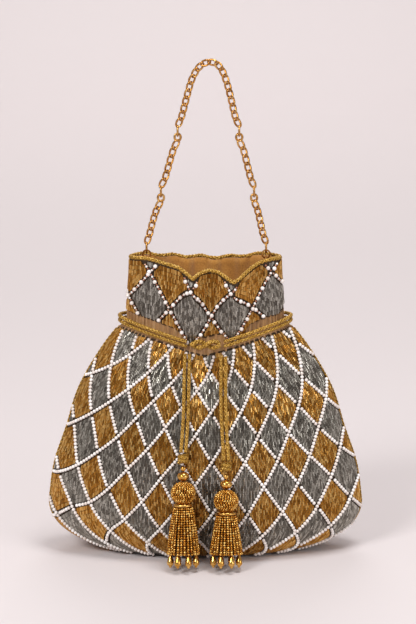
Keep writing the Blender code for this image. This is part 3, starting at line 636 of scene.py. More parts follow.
glass_pearl, pearl_shader = new_material("glass_pearl_nacre")
pearl_lot = add_node(glass_pearl, "ShaderNodeAttribute", {"attribute_name": "lot"}).outputs["Fac"]
pearl_tint = ramp(glass_pearl, pearl_lot, (0.0, "#E6DAD2"), (0.5, "#F4ECE6"), (1.0, "#FFFBF8"))
glass_pearl.node_tree.links.new(pearl_tint, pearl_shader.inputs["Base Color"])
pearl_shader.inputs["Roughness"].default_value = 0.22
pearl_shader.inputs["Coat Weight"].default_value = 0.5
pearl_shader.inputs["Coat Roughness"].default_value = 0.08
print("bead materials:", [m.name for m in (gold_bugle, pewter_bugle, rose_seed, gold_seed, glass_pearl)])


# %% Put the bugle beads on the panels
def sew_bugles(word, beads, width=0.95 * MM):
    """The gold and the pewter beads of one cloth, each as one piece."""
    pieces = []
    for key, material in (("gold", gold_bugle), ("pewter", pewter_bugle)):
        starts, ends, outward = beads[key]
        centres, turns = bead_frames(starts, ends, outward, width)
        lots = rng.uniform(0, 1, len(centres))
        piece = copies_of(f"{key}_bugles_{word}", bugle, centres, turns, lots, material, False)
        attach(piece, "bag")
        pieces.append(piece)
        print(piece.name, "beads:", len(centres))
    return pieces


front_bugles = sew_bugles("front", panel_beads[-1])
back_bugles = sew_bugles("back", panel_beads[1])

# %% [markdown]
# ## Pearl strings
#
# Along each line of the lattice runs a string of small pearls, pitch about 2.7 mm. A whole diagonal
# is sampled at once and pearls are set along its real length. Where two diagonals cross they would
# fall on each other, so a pearl that is too near to one that is already there is left out.

# %% Set the pearls
def diagonal_line(side, place, start, lean, rows, limits):
    """Points and outward directions along one lattice diagonal, in stretches that are on the cloth."""
    row = np.linspace(rows[0], rows[-1], 50 * (rows[-1] - rows[0]))
    column = start + lean * row
    share = FIRST_COLUMN + COLUMN_STEP * column
    across, height = place(column, row)
    keep = (height > limits[0]) & (height < limits[1]) & (np.abs(share) < limits[2])
    points, normal = offset_surface(side, across, height, 0)
    return points[keep], normal[keep]


def string_of(points, normal, pitch, start=0.0):
    """Even places along a line: their points, outward directions and numbers."""
    along = np.concatenate([[0], np.cumsum(np.linalg.norm(np.diff(points, axis=0), axis=1))])
    at = np.arange(start, along[-1], pitch)
    here = np.column_stack([np.interp(at, along, points[:, k]) for k in range(3)])
    faces = np.column_stack([np.interp(at, along, normal[:, k]) for k in range(3)])
    return here, faces


def thinned(points, near):
    """Which points to keep so that none lies nearer than that to one kept before it."""
    kept = []
    cells = {}
    for k, point in enumerate(points):
        cell = tuple((point // near).astype(int))
        around = [cells.get((cell[0] + a, cell[1] + b, cell[2] + c), []) for a in (-1, 0, 1)
                  for b in (-1, 0, 1) for c in (-1, 0, 1)]
        if all(np.linalg.norm(points[m] - point) >= near for group in around for m in group):
            kept.append(k)
            cells.setdefault(cell, []).append(k)
    return np.array(kept, int)


def round_beads(name, centres, outward, widths, material, body="bag", smooth=True):
    """Round beads at their centres, each upright along its outward direction."""
    side = np.cross(outward, [0.3, 0.1, 1.0])
    side = side / np.linalg.norm(side, axis=1, keepdims=True)
    rise = np.cross(outward, side)
    turns = np.stack([side, rise, outward], axis=-1) * np.asarray(widths, float).reshape(-1, 1, 1)
    piece = copies_of(name, pearl, centres, turns, rng.uniform(0, 1, len(centres)), material, smooth)
    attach(piece, body)
    print(name, "beads:", len(centres))
    return piece


PEARL_WIDTH = 2.8 * MM
PEARL_PITCH = 2.7 * MM
pearl_pieces = {}
for side, word in ((-1, "front"), (1, "back")):
    place = panel_lattice(side)
    points, normals = [], []
    for start in range(-30, 31, 2):
        for lean in (-1, 1):
            line, faces = diagonal_line(side, place, start, lean, range(-5, 10), PANEL_LIMITS)
            if len(line) > 5:
                line, faces = string_of(line, faces, PEARL_PITCH, PEARL_PITCH / 2)
                points.append(line)
                normals.append(faces)
    points, normals = np.vstack(points), np.vstack(normals)
    kept = thinned(points, 0.8 * PEARL_PITCH)
    centres = points[kept] + normals[kept] * 0.35 * MM
    strings = round_beads("pearl_strings_" + word, centres, normals[kept], PEARL_WIDTH, glass_pearl)
    pearl_pieces[side] = strings

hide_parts("front_panel")
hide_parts("back_panel")

# %% [markdown]
# ## The gathered collar
#
# Above the cord the cloth spreads into a frill with a few deep, soft pleats. Simulation could
# gather it, but the pleats of this one are chosen, so they come from the fold tables: the same rule
# bends the cloth, its beads and its braid together. The lower edge dips where a pleat stands out.

# %% Collar cloth
COLLAR_LOW = NECK_HEIGHT + BAND_HEIGHT / 2 - 2.5 * MM
COLLAR_TUCK = 7.5 * MM


def collar_foot(side, across):
    """The height parameter of the collar's lower edge."""
    folds = FRONT_FOLDS if side < 0 else BACK_FOLDS
    stands = through(folds, np.sin(np.asarray(across, float) * math.pi / 2))[..., 0]
    return COLLAR_LOW - COLLAR_TUCK * np.clip(stands / 5, 0, 1)


def collar_place(side, lift):
    """The rule that lays the collar's grid between its wavy foot and its rim."""

    def place(across, up):
        across = (across * 2 - 1) * -side
        foot = collar_foot(side, across)
        points, _ = offset_surface(side, across, foot + (RIM_HEIGHT - foot) * up, lift)
        ends = np.abs(across) > 0.999
        points[ends, 1] = side * GAP / 2
        return points

    return place


for side, node in ((-1, "collar_front"), (1, "collar_back")):
    mesh = laid_grid(node + "_cloth", 26, 220, collar_place(side, CLOTH_LIFT))
    collar = finished(node + "_cloth", mesh, cloth)
    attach(collar, "bag")
    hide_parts(node)
    print(node, "cloth faces:", len(mesh.polygons))

# %% [markdown]
# ## Beads on the collar
#
# The collar carries the same diamonds, but its lines are looser: a large pearl, then small pearls
# and rose-copper seed beads, over and over. The lattice has its own column width, because the cloth
# is gathered here, and its rows start again from the cord.

# %% Collar lattice and beads
COLLAR_COLUMN = 0.262
COLLAR_FIRST = -0.19
COLLAR_ROWS = ((-2, 138), (-1, 159), (0, 179), (1, 199.5), (2, 220), (3, 240), (4, 260))


def collar_lattice(column, row):
    """From (column, row) in half diamonds to (across, height) on the collar."""
    share = np.clip(COLLAR_FIRST + COLLAR_COLUMN * np.asarray(column, float), -0.9999, 0.9999)
    height = through(COLLAR_ROWS, row)[..., 0]
    return np.arcsin(share) * 2 / math.pi, height * MM


def on_collar(side, points_height, across):
    """Which places lie between the collar's foot and its braid."""
    return (points_height > collar_foot(side, across) + 0.8 * MM) & (points_height < RIM_HEIGHT - 1.8 * MM)


def fill_collar(side):
    """Bugle beads of the collar's diamonds, by colour."""
    found = {"gold": [], "pewter": []}
    for i in range(-5, 7):
        for j in range(-1, 4):
            if (i + j) % 2 == 0:
                continue
            spread = np.linspace(-1, 1, 41)
            across, height = collar_lattice(i + spread, np.full(41, float(j)))
            line, _ = offset_surface(side, across, np.clip(height, COLLAR_LOW, RIM_HEIGHT), 0)
            along = np.concatenate([[0], np.cumsum(np.linalg.norm(np.diff(line, axis=0), axis=1))])
            count = max(3, round(along[-1] / BUGLE_WIDTH))
            for aside in np.interp((np.arange(count) + 0.5) / count * along[-1], along, spread):
                reach = 1 - abs(aside) - EDGE_MARGIN
                if reach < 0.05 or abs(COLLAR_FIRST + COLLAR_COLUMN * (i + aside)) > SEAM_SHARE:
                    continue
                across, _ = collar_lattice(i + aside, 0.0)
                foot = float(collar_foot(side, across)) + 0.6 * MM
                limits = (foot, RIM_HEIGHT - 0.8 * MM, None)
                beads = bugle_column(side, collar_lattice, i + aside, j - reach, j + reach, limits)
                if beads:
                    found["gold" if j % 2 == 0 else "pewter"].append(beads)
    return {key: [np.vstack(group) for group in zip(*value)] for key, value in found.items()}


PATTERN = (("pearl", 3.3), ("rose", 1.7), ("small", 2.0), ("rose", 1.7))
for side, word in ((-1, "collar_front"), (1, "collar_back")):
    sew_bugles(word, fill_collar(side))
    sewn = {"pearl": [], "small": [], "rose": []}
    for start in range(-16, 17, 2):
        for lean in (-1, 1):
            row = np.linspace(-1, 4, 240)
            column = start + lean * row
            share = COLLAR_FIRST + COLLAR_COLUMN * column
            across, height = collar_lattice(column, row)
            keep = on_collar(side, height, across) & (np.abs(share) < 0.99)
            if keep.sum() < 6:
                continue
            points, normal = offset_surface(side, across[keep], height[keep], 0)
            length = np.linalg.norm(np.diff(points, axis=0), axis=1).sum()
            at, k = 1.6 * MM, 0
            along = np.concatenate([[0], np.cumsum(np.linalg.norm(np.diff(points, axis=0), axis=1))])
            while at < length:
                kind, width = PATTERN[k % 4]
                here = [np.interp(at, along, points[:, m]) for m in range(3)]
                face = [np.interp(at, along, normal[:, m]) for m in range(3)]
                sewn[kind].append((*here, *face, width * MM))
                at += (width + PATTERN[(k + 1) % 4][1]) / 2 * MM
                k += 1
    everything = np.array([(*row, n) for n, rows in enumerate(sewn.values()) for row in rows])
    everything = everything[np.argsort(-everything[:, 6])]
    everything = everything[thinned(everything[:, :3], 1.7 * MM)]
    kinds = (("pearl", glass_pearl), ("small", glass_pearl), ("rose", rose_seed))
    for n, (kind, material) in enumerate(kinds):
        mine = everything[everything[:, 7] == n]
        centres = mine[:, :3] + mine[:, 3:6] * (mine[:, 6:7] / 2 - 0.7 * MM)
        round_beads(f"{kind}_beads_{word}", centres, mine[:, 3:6], mine[:, 6], material)

# %% [markdown]
# ## The casing
#
# Between the panels and the collar a strip of tan satin is drawn together by the cord. Satin shows
# as soft, bright ridges between fine gathers, so a little wave runs across the strip's grid, and
# lighter and darker streaks along its threads are painted into its colour as highlight and shade.

# %% Satin casing
satin, satin_shader = new_material("gathered_tan_satin")
satin_place = add_node(satin, "ShaderNodeTexCoord").outputs["Object"]
satin_scale = add_node(satin, "ShaderNodeMapping", None, Vector=satin_place, Scale=(1, 1, 0.15))
satin_threads = satin_scale.outputs["Vector"]
# Noise stretched along the threads paints lighter and darker streaks: painted highlight and shade
satin_painted_streaks = add_node(satin, "ShaderNodeTexNoise", None, Vector=satin_threads, Scale=420.0, Detail=4.0)
satin_painted_highlight = ramp(satin, satin_painted_streaks.outputs["Fac"], (0.25, "#8A6238"), (0.5, "#B08452"), (0.8, "#CFA878"))
satin.node_tree.links.new(satin_painted_highlight, satin_shader.inputs["Base Color"])
satin_shader.inputs["Roughness"].default_value = 0.42
satin_shader.inputs["Sheen Weight"].default_value = 0.4
GATHER = 3.1 * MM


def casing_point(turn, height):
    """A point of the casing and its outward direction: turn runs 0 to 1 round from the left seam."""
    front = (turn < 0.5)[:, None]
    across = np.where(turn < 0.5, turn * 4 - 1, 3 - turn * 4)
    ahead, behind = [offset_surface(side, across, height, 0) for side in (-1, 1)]
    return np.where(front, ahead[0], behind[0]), np.where(front, ahead[1], behind[1])


def casing_place(across, up):
    """The casing's grid, with fine gathers that fade at its two edges."""
    turn = across % 1.0
    low = PANEL_TOP - 2 * MM
    high = COLLAR_LOW + 1 * MM
    round_way = 4 * half_width(NECK_HEIGHT)
    count = round(float(round_way) / GATHER)
    wave = np.sin(2 * math.pi * (turn * count + 0.35 * np.sin(2 * math.pi * turn * 9)))
    lift = -1.3 * MM + 0.65 * MM * wave
    points, normal = casing_point(turn, low + (high - low) * up)
    return points + normal * lift[:, None]


casing_mesh = laid_grid("satin_casing", 10, 720, casing_place)
casing = finished("satin_casing", casing_mesh, satin)
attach(casing, "bag")
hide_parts("neck_band")
print("casing faces:", len(casing_mesh.polygons))

# %% [markdown]
# ## The suede lining
#
# Inside hangs a loose bag of tan suede. It shows between the pleats and from above, as a dull, warm
# nap with no highlight. One wrapped grid makes it, from the rim down to its flat floor.

# %% Suede lining
suede, suede_shader = new_material("tan_suede")
suede_place = add_node(suede, "ShaderNodeTexCoord").outputs["Object"]
nap = add_node(suede, "ShaderNodeTexNoise", None, Vector=suede_place, Scale=900.0, Detail=6.0)
patches = add_node(suede, "ShaderNodeTexNoise", None, Vector=suede_place, Scale=60.0, Detail=3.0)
naps = nap.outputs["Fac"], patches.outputs["Fac"]
both = add_node(suede, "ShaderNodeMath", {"operation": "ADD"}, _0=naps[0], _1=naps[1])
half = add_node(suede, "ShaderNodeMath", {"operation": "MULTIPLY"}, _0=both.outputs["Value"], _1=0.5)
suede_tint = ramp(suede, half.outputs["Value"], (0.3, "#8A5A20"), (0.5, "#AC752E"), (0.7, "#C08C42"))
suede.node_tree.links.new(suede_tint, suede_shader.inputs["Base Color"])
suede_shader.inputs["Roughness"].default_value = 0.95
suede_shader.inputs["Sheen Weight"].default_value = 0.5
suede_bump = add_node(suede, "ShaderNodeBump", None, Strength=0.5, Distance=0.0003, Height=nap.outputs["Fac"])
suede.node_tree.links.new(suede_bump.outputs["Normal"], suede_shader.inputs["Normal"])


RIM_LEAN = 1.1 * MM


def lining_surface(side, across, height, depth):
    """Points inside the bag at a level distance, which keeps narrow pleats from crossing themselves."""
    points = bag_surface(side, across, height, LINING_FOLD_SHARE)
    points[:, 0] *= 1 - depth / half_width(height)
    points[:, 1] -= side * depth * np.sqrt(np.maximum(np.cos(across * math.pi / 2), 0))
    return points


def lining_place(across, up):
    """The lining's wrapped grid: its floor first, then its wall up to the braid."""
    turn = across % 1.0
    front = turn < 0.5
    place = np.where(front, turn * 4 - 1, 3 - turn * 4)
    climb = np.clip((up - 0.12) / 0.88, 0, 1)
    height = RIM_HEIGHT * climb**1.15
    depth = PANEL_WALL + LINING_EASE + 0.3 * MM - RIM_LEAN * smooth_step((climb - 0.9) / 0.1)
    points = np.zeros((len(turn), 3))
    for side in (-1, 1):
        found = lining_surface(side, place, height, depth)
        mine = front if side < 0 else ~front
        points[mine] = found[mine]
    floor = 2 * PIPING_RADIUS + GAP + 0.2 * MM
    points[:, 2] = np.maximum(points[:, 2], floor)
    inward = np.clip(up / 0.12, 0, 1)
    points[:, :2] *= np.where(up < 0.12, inward, 1.0)[:, None]
    return points


def wrapped(mesh):
    """Close a grid that was laid right round, by merging its seam and its middle."""
    work = bmesh.new()
    work.from_mesh(mesh)
    bmesh.ops.remove_doubles(work, verts=work.verts, dist=1e-6)
    bmesh.ops.recalc_face_normals(work, faces=work.faces)
    work.to_mesh(mesh)
    work.free()
    return mesh


lining_mesh = wrapped(laid_grid("suede_lining", 70, 200, lining_place))
wrapped(casing_mesh)
lining = finished("suede_lining", lining_mesh, suede)
wall = lining.modifiers.new("suede_wall", "SOLIDIFY")
wall.thickness = 0.8 * MM
wall.offset = -1
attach(lining, "bag")
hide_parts("lining_bag")
print("lining faces:", len(lining_mesh.polygons))

# %% [markdown]
# ## Plaited gold cord
#
# The neck cord, the rim's edging and the side piping are all zari: thread wrapped in gold-coloured
# metal, plaited into a round cord. A plain tube with a bump would look like a pipe at its edges. So
# strands are really led round each line, half of them turning each way, over and under in turn.

# %% Zari thread
zari, zari_shader = new_material("metal_wrapped_zari_thread")
zari_place = add_node(zari, "ShaderNodeTexCoord").outputs["Object"]
# The mottled light and dark gold in the thread's colour is painted glint; the same noise gives the bump its
# relief
zari_painted_glint_and_relief = add_node(zari, "ShaderNodeTexNoise", None, Vector=zari_place, Scale=1100.0, Detail=3.0)
zari_painted_glint_tint = ramp(zari, zari_painted_glint_and_relief.outputs["Fac"], (0.3, "#7A5818"), (0.5, "#B88C3A"), (0.72, "#E2C274"))
zari.node_tree.links.new(zari_painted_glint_tint, zari_shader.inputs["Base Color"])
zari_shader.inputs["Metallic"].default_value = 0.8
zari_shader.inputs["Roughness"].default_value = 0.42
zari_relief = zari_painted_glint_and_relief.outputs["Fac"]
zari_bump = add_node(zari, "ShaderNodeBump", None, Strength=0.6, Distance=0.0002, Height=zari_relief)
zari.node_tree.links.new(zari_bump.outputs["Normal"], zari_shader.inputs["Normal"])


# %% Plait strands round a line
def frames_along(points, closed):
    """Two directions beside a line that turn with it as little as they can."""
    if closed:
        ahead = np.roll(points, -1, axis=0) - np.roll(points, 1, axis=0)
    else:
        ahead = np.gradient(points, axis=0)
    ahead = ahead / np.linalg.norm(ahead, axis=1, keepdims=True)
    one = np.zeros_like(points)
    first = np.cross(ahead[0], (0.31, 0.2, 0.93))
    one[0] = first / np.linalg.norm(first)
    for k in range(1, len(points)):
        turned = one[k - 1] - ahead[k] * (one[k - 1] @ ahead[k])
        one[k] = turned / np.linalg.norm(turned)
    two = np.cross(ahead, one)
    if closed:
        slip = math.atan2(one[0] @ two[-1], one[0] @ one[-1])
        back = np.linspace(0, slip, len(points))[:, None]
        one, two = one * np.cos(back) + two * np.sin(back), two * np.cos(back) - one * np.sin(back)
    return one, two


def plait_mesh(name, lines, radius, pitch, each_way=3, closed=False):
    """A mesh of round plaits along some lines: each_way strands turn left and as many right."""
    curve = bpy.data.curves.new(name, "CURVE")
    curve.dimensions = "3D"
    curve.bevel_depth = radius * 0.36
    curve.bevel_resolution = 1
    curve.use_fill_caps = not closed
    for line in lines:
        line = np.asarray(line, float)
        if closed:
            line = spaced(np.vstack([line, line[:1]]), 0.7 * MM)[:-1]
        else:
            line = spaced(line, 0.7 * MM)
        one, two = frames_along(line, closed)
        along = np.concatenate([[0], np.cumsum(np.linalg.norm(np.diff(line, axis=0), axis=1))])
        length = along[-1] * (len(line) / (len(line) - 1) if closed else 1)
        turns = max(1, round(length / pitch)) if closed else length / pitch
        phase = 2 * math.pi * turns * along / length
        for way in (1, -1):
            for k in range(each_way):
                angle = (way * phase + 2 * math.pi * k / each_way)[:, None]
                reach = (radius * (0.52 + 0.12 * way * np.cos(each_way * phase)))[:, None]
                strand = line + reach * (one * np.cos(angle) + two * np.sin(angle))
                spline = curve.splines.new("POLY")
                spline.points.add(len(strand) - 1)
                spline.points.foreach_set("co", np.column_stack([strand, np.ones(len(strand))]).ravel())
                spline.use_cyclic_u = closed
    helper = bpy.data.objects.new(name, curve)
    mesh = bpy.data.meshes.new_from_object(helper)
    bpy.data.objects.remove(helper, do_unlink=True)
    bpy.data.curves.remove(curve)
    return mesh


def plait(name, lines, radius, pitch, body="bag", each_way=3, closed=False):
    """A plaited cord piece in zari thread that rides on a body."""
    steps = [np.diff(np.asarray(line), axis=0) for line in lines]
    length = sum(float(np.linalg.norm(step, axis=1).sum()) for step in steps)
    piece = finished(name, plait_mesh(name, lines, radius, pitch, each_way, closed), zari)
    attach(piece, body)
    print(name, "faces:", len(piece.data.polygons), "line in mm:", round(length / MM, 1))
    return piece


# %% [markdown]
# ## Edging, piping and neck cord
#
# The edging sits on the collar's rim, and the piping is the seam at the bag's outline. The neck
# cord is doubled: two plaits lie one over the other round the gathers and meet in a half knot.

# %% Edging and piping
rim = ring_grid([RIM_HEIGHT - 2 * MM, RIM_HEIGHT], 30)
rim_line = rim[1] - normals_of(rim, True)[1] * (PANEL_WALL + GAP / 2)
rim_line[:, 2] += BRAID_RADIUS - 0.8 * MM
edging = plait("rim_edging", [rim_line], BRAID_RADIUS, 9 * MM, closed=True)
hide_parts("rim_braid")

PIPE_VISIBLE = 1.15 * MM
seam_heights = np.linspace(0, NECK_HEIGHT - BAND_HEIGHT / 2, 90) ** 1.0
right_seam = np.column_stack([half_width(seam_heights), 0 * seam_heights, seam_heights])
right_seam[:, 2] = np.maximum(right_seam[:, 2], PIPING_RADIUS)
seam_line = np.vstack([right_seam[::-1] * [-1, 1, 1], [[0, 0, PIPING_RADIUS]], right_seam])
piping = plait("seam_piping", [seam_line], PIPE_VISIBLE, 7 * MM, each_way=2)
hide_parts("side_piping")

# %% Neck cord and knot
STRAND_RADIUS = 1.6 * MM
STRAND_PITCH = 2 * STRAND_RADIUS + GAP
KNOT_TWIST_RADIUS = 2.3 * MM
KNOT_HALF_LENGTH = 12.5 * MM
KNOT_STRAND_RADIUS = 2.0 * MM


def neck_line(lift):
    """The taut oval that the neck cord follows over the gathers, open at the knot in front."""
    clear = STRAND_RADIUS + GAP
    ridge = max(fold[1] for fold in FRONT_FOLDS) * NECK_FOLD_SHARE * MM
    below = NECK_HEIGHT - STRAND_PITCH
    wide = float(half_width(below)) + clear
    deep = float(half_depth(below)) + ridge + clear
    start = math.asin((KNOT_HALF_LENGTH + STRAND_RADIUS) / wide)
    angle = np.linspace(start, 2 * math.pi - start, 160)
    x = -wide * np.sin(angle)
    y = -deep * np.cos(angle)
    fall = np.where(y < 0, FRONT_DIP, BACK_DIP) * (1 - np.abs(x) / wide)
    return np.column_stack([x, y, NECK_HEIGHT - fall + lift])


CORD_TURN = 9 * MM
for node, lift in (("drawstring_upper", 0.5), ("drawstring_lower", -0.5)):
    cord = plait(node + "_plait", [neck_line(lift * STRAND_PITCH)], STRAND_RADIUS, CORD_TURN)
    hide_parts(node)

knot_middle = neck_line(0)[0]
knot_turn = np.linspace(-math.pi / 2, math.pi * 1.5, 41)
for node, start in (("knot_over", 0), ("knot_under", math.pi)):
    x = np.linspace(-KNOT_HALF_LENGTH + STRAND_RADIUS, KNOT_HALF_LENGTH - STRAND_RADIUS, 41)
    y = knot_middle[1] - 1.2 * STRAND_RADIUS + KNOT_TWIST_RADIUS * np.sin(knot_turn + start)
    z = knot_middle[2] + KNOT_TWIST_RADIUS * np.cos(knot_turn + start)
    knot = plait(node + "_plait", [np.column_stack([x, y, z])], KNOT_STRAND_RADIUS, CORD_TURN)
    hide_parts(node)

# %% [markdown]
# ## Tassels
#
# Each end of the cord carries a tassel: the cord's own end knot, a gold ball, a large gold bead, an
# onion-shaped bulb sewn over with seed beads, a gold binding, and a skirt of bead strands with
# polished drops. Turned pieces are spun from half outlines. All are made upright about the knot
# and then leaned forward, as they lie against the full belly of the bag.

# %% Turned pieces and their gold
polished_gold, gold_shader = new_material("polished_gold_plate")
gold_place = add_node(polished_gold, "ShaderNodeTexCoord").outputs["Object"]
gold_cloud = add_node(polished_gold, "ShaderNodeTexNoise", None, Vector=gold_place, Scale=350.0, Detail=2.0)
gold_tint = ramp(polished_gold, gold_cloud.outputs["Fac"], (0.3, "#C48A34"), (0.7, "#E8BC6C"))
polished_gold.node_tree.links.new(gold_tint, gold_shader.inputs["Base Color"])
gold_shader.inputs["Metallic"].default_value = 1.0
gold_shader.inputs["Roughness"].default_value = 0.16

LEAN = math.radians(10.5)
TASSEL_WIDTH, BULB_WIDTH, BULB_HEIGHT = 26 * MM, 19 * MM, 17.4 * MM
END_KNOT_WIDTH, END_KNOT_HEIGHT = 9.4 * MM, 9.6 * MM
BALL_WIDTH, LARGE_BEAD_WIDTH, LARGE_BEAD_HEIGHT = 4.2 * MM, 9.4 * MM, 7 * MM
BINDING_WIDTH, BINDING_HEIGHT = 15.6 * MM, 2.4 * MM
DROP_WIDTH, DROP_LENGTH, TIP_HEIGHT, DROPS = 5.2 * MM, 9.4 * MM, 0.5 * MM, 8


def turned(name, outline, steps, where):
    """A mesh spun from a half outline of (radius, height), put where its matrix says."""
    work = bmesh.new()
    line = [work.verts.new((r, 0, z)) for r, z in outline]
    edges = [work.edges.new(pair) for pair in zip(line, line[1:])]
    bmesh.ops.spin(
        work, geom=line + edges, axis=(0, 0, 1), cent=(0, 0, 0), angle=2 * math.pi, steps=steps,
        use_merge=True, use_duplicate=False,
    )
    bmesh.ops.remove_doubles(work, verts=work.verts, dist=1e-6)
    bmesh.ops.recalc_face_normals(work, faces=work.faces)
    bmesh.ops.transform(work, matrix=where, verts=work.verts)
    mesh = bpy.data.meshes.new(name)
    work.to_mesh(mesh)
    work.free()
    return mesh


def oval(width, top, bottom, count=15):
    """Half the outline of a ball or bead between two heights."""
    angle = np.linspace(0, math.pi, count)
    half, middle = (top - bottom) / 2, (top + bottom) / 2
    return [(max(0.0, width / 2 * math.sin(a)), middle + half * math.cos(a)) for a in angle]


def place_seeds(name, points, outward, width, where, body):
    """Seed beads at points about the knot, leaned with the tassel."""
    lean = np.array(where.to_3x3())
    centres = points @ lean.T + np.array(where.translation)
    return round_beads(name, centres, outward @ lean.T, width, gold_seed, body)


def bulb_seeds(top, width):
    """Rings of seed beads over the bulb, from its crown to the binding."""
    points, outward = [], []
    radius, half = BULB_WIDTH / 2 - 0.75 * MM, BULB_HEIGHT / 2 - 0.6 * MM
    for row, angle in enumerate(np.linspace(0.22, 2.72, 15)):
        r, z = radius * math.sin(angle), half * math.cos(angle)
        count = max(5, round(2 * math.pi * r / (1.02 * width)))
        for k in range(count):
            turn = 2 * math.pi * (k + 0.5 * (row % 2)) / count
            points.append((r * math.cos(turn), r * math.sin(turn), top - BULB_HEIGHT / 2 + z))
            across = math.sin(angle)
            outward.append((across * math.cos(turn), across * math.sin(turn), math.cos(angle)))
    return np.array(points), np.array(outward)


def skirt_seeds(top, bottom, width):
    """Strands of seed beads that hang from the binding and spread a little, in two rings."""
    points, outward = [], []
    for strands, share in ((26, 1.0), (16, 0.72)):
        for k in range(strands):
            turn = 2 * math.pi * k / strands + rng.normal(0, 0.015)
            count = round((top - bottom) / (0.92 * width))
            fall = (np.arange(count) + 0.5) / count
            reach = (TASSEL_WIDTH / 2 - width / 2) * (0.56 + 0.44 * fall**0.8) * share
            for f, r in zip(fall, reach):
                points.append((r * math.cos(turn), r * math.sin(turn), top + (bottom - top) * f))
                outward.append((math.cos(turn), math.sin(turn), 0.1))
    return np.array(points), np.array(outward)


def drop_outline(top, bottom):
    """Half the outline of a polished teardrop with a small ball at its tip."""
    shape = ((0, 0), (0.28, 0.02), (0.36, 0.07), (0.5, 0.16), (0.66, 0.27), (0.84, 0.4), (0.96, 0.52))
    shape += ((1, 0.62), (0.94, 0.71), (0.76, 0.79), (0.52, 0.84), (0.4, 0.87), (0.42, 0.91))
    shape += ((0.38, 0.95), (0.22, 0.985), (0, 1))
    return [(r * DROP_WIDTH / 2, top - share * (top - bottom)) for r, share in shape]


def gold_piece(name, mesh, body, *nodes, material=None, slot="polished_gold"):
    """A finished piece that rides on a body and stands for its nodes."""
    piece = finished(name, mesh, material or polished_gold)
    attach(piece, body)
    if nodes:
        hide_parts(*nodes)
    return piece


SEED_WIDTH = 1.9 * MM


def make_tassel(word, knot):
    """All pieces of one tassel, in a list for its cord."""
    body = "tassel_" + word
    where = Matrix.Translation(knot) @ Matrix.Rotation(-LEAN, 4, "X")
    half = END_KNOT_HEIGHT / 2
    ball_top = -half - GAP
    bead_top = ball_top - BALL_WIDTH - GAP
    bulb_top = bead_top - LARGE_BEAD_HEIGHT - GAP
    flat = bulb_top - BULB_HEIGHT + 1 * MM
    ring_top = flat - GAP
    ring_bottom = ring_top - BINDING_HEIGHT
    drop_bottom = -(knot[2] - TIP_HEIGHT) / math.cos(LEAN) + TASSEL_WIDTH / 2 * math.tan(LEAN)
    drop_top = drop_bottom + DROP_LENGTH
    turns = np.linspace(0, 5 * math.pi, 80)
    coil = np.column_stack([3.0 * np.cos(turns), 3.0 * np.sin(turns), np.linspace(2.9, -2.9, 80)]) * MM
    knot_mesh = plait_mesh("end_knot", [coil], 1.6 * MM, 7 * MM)
    knot_mesh.transform(where)
    thread = {"material": zari, "slot": "zari_braid"}
    # The cores take the dark backing cloth, which shows between the seed beads partly as painted shade
    sewn = {"material": cloth, "slot": "seed_beads"}
    made = [gold_piece("knotted_end_" + word, knot_mesh, body, "end_knot_" + word, **thread)]
    ball = turned("ball", oval(BALL_WIDTH, ball_top, ball_top - BALL_WIDTH), 20, where)
    made.append(gold_piece("gold_ball_" + word, ball, body, "small_ball_" + word))
    bead = turned("bead", oval(LARGE_BEAD_WIDTH, bead_top, bead_top - LARGE_BEAD_HEIGHT), 28, where)
    made.append(gold_piece("gold_bead_" + word, bead, body, "large_bead_" + word))
    core = turned("core", oval(BULB_WIDTH - 2.4 * MM, bulb_top - 0.8 * MM, flat - 0.2 * MM), 24, where)
    made.append(gold_piece("bulb_core_" + word, core, body, "tassel_bulb_" + word, **sewn))
    points, outward = bulb_seeds(bulb_top, SEED_WIDTH)
    made.append(place_seeds("bulb_seeds_" + word, points, outward, SEED_WIDTH, where, body))
    edge = BINDING_WIDTH / 2
    band = [(0, ring_top), (edge - 0.9 * MM, ring_top), (edge - 0.2 * MM, ring_top - 0.5 * MM)]
    band += [(edge, (ring_top + ring_bottom) / 2), (edge - 0.2 * MM, ring_bottom + 0.5 * MM)]
    band += [(edge - 0.9 * MM, ring_bottom), (0, ring_bottom)]
    binding = turned("binding", band, 32, where)
    made.append(gold_piece("gold_binding_" + word, binding, body, "tassel_binding_" + word))
    skirt_top, skirt_bottom = ring_bottom - GAP, drop_top + GAP
    halfway = (skirt_top + skirt_bottom) / 2
    inner = [(0, skirt_top), (4 * MM, skirt_top), (6.5 * MM, halfway)]
    inner += [(8 * MM, skirt_bottom), (0, skirt_bottom)]
    inner = turned("inner", inner, 20, where)
    made.append(gold_piece("skirt_core_" + word, inner, body, "tassel_skirt_" + word, **sewn))
    points, outward = skirt_seeds(skirt_top, skirt_bottom, SEED_WIDTH)
    made.append(place_seeds("skirt_seeds_" + word, points, outward, SEED_WIDTH, where, body))
    reach = (TASSEL_WIDTH - DROP_WIDTH) / 2
    for k in range(DROPS):
        angle = 2 * math.pi * (k + 0.5) / DROPS
        beside = Matrix.Translation((reach * math.cos(angle), reach * math.sin(angle), 0))
        drop = turned("drop", drop_outline(drop_top, drop_bottom), 16, where @ beside)
        made.append(gold_piece(f"gold_drop_{word}_{k + 1}", drop, body, f"tassel_drop_{word}_{k + 1}"))
    return made


# %% Hanging cords with their tassels
LEFT_DROP = ((-13.6, 158.5), (-13.9, 148), (-14.3, 132), (-14.6, 116), (-15.6, 100), (-16.6, 88))
RIGHT_DROP = ((13.4, 156.5), (13.6, 146), (13.4, 130), (13.8, 112), (14.8, 94), (15.6, 82))


def front_depth(x, z):
    """How far the bag's front stands out at a place, for what lies on it."""
    return float(half_depth(z)) * (1 - (x / float(half_width(z))) ** 2) ** (SECTION_POWER / 2)


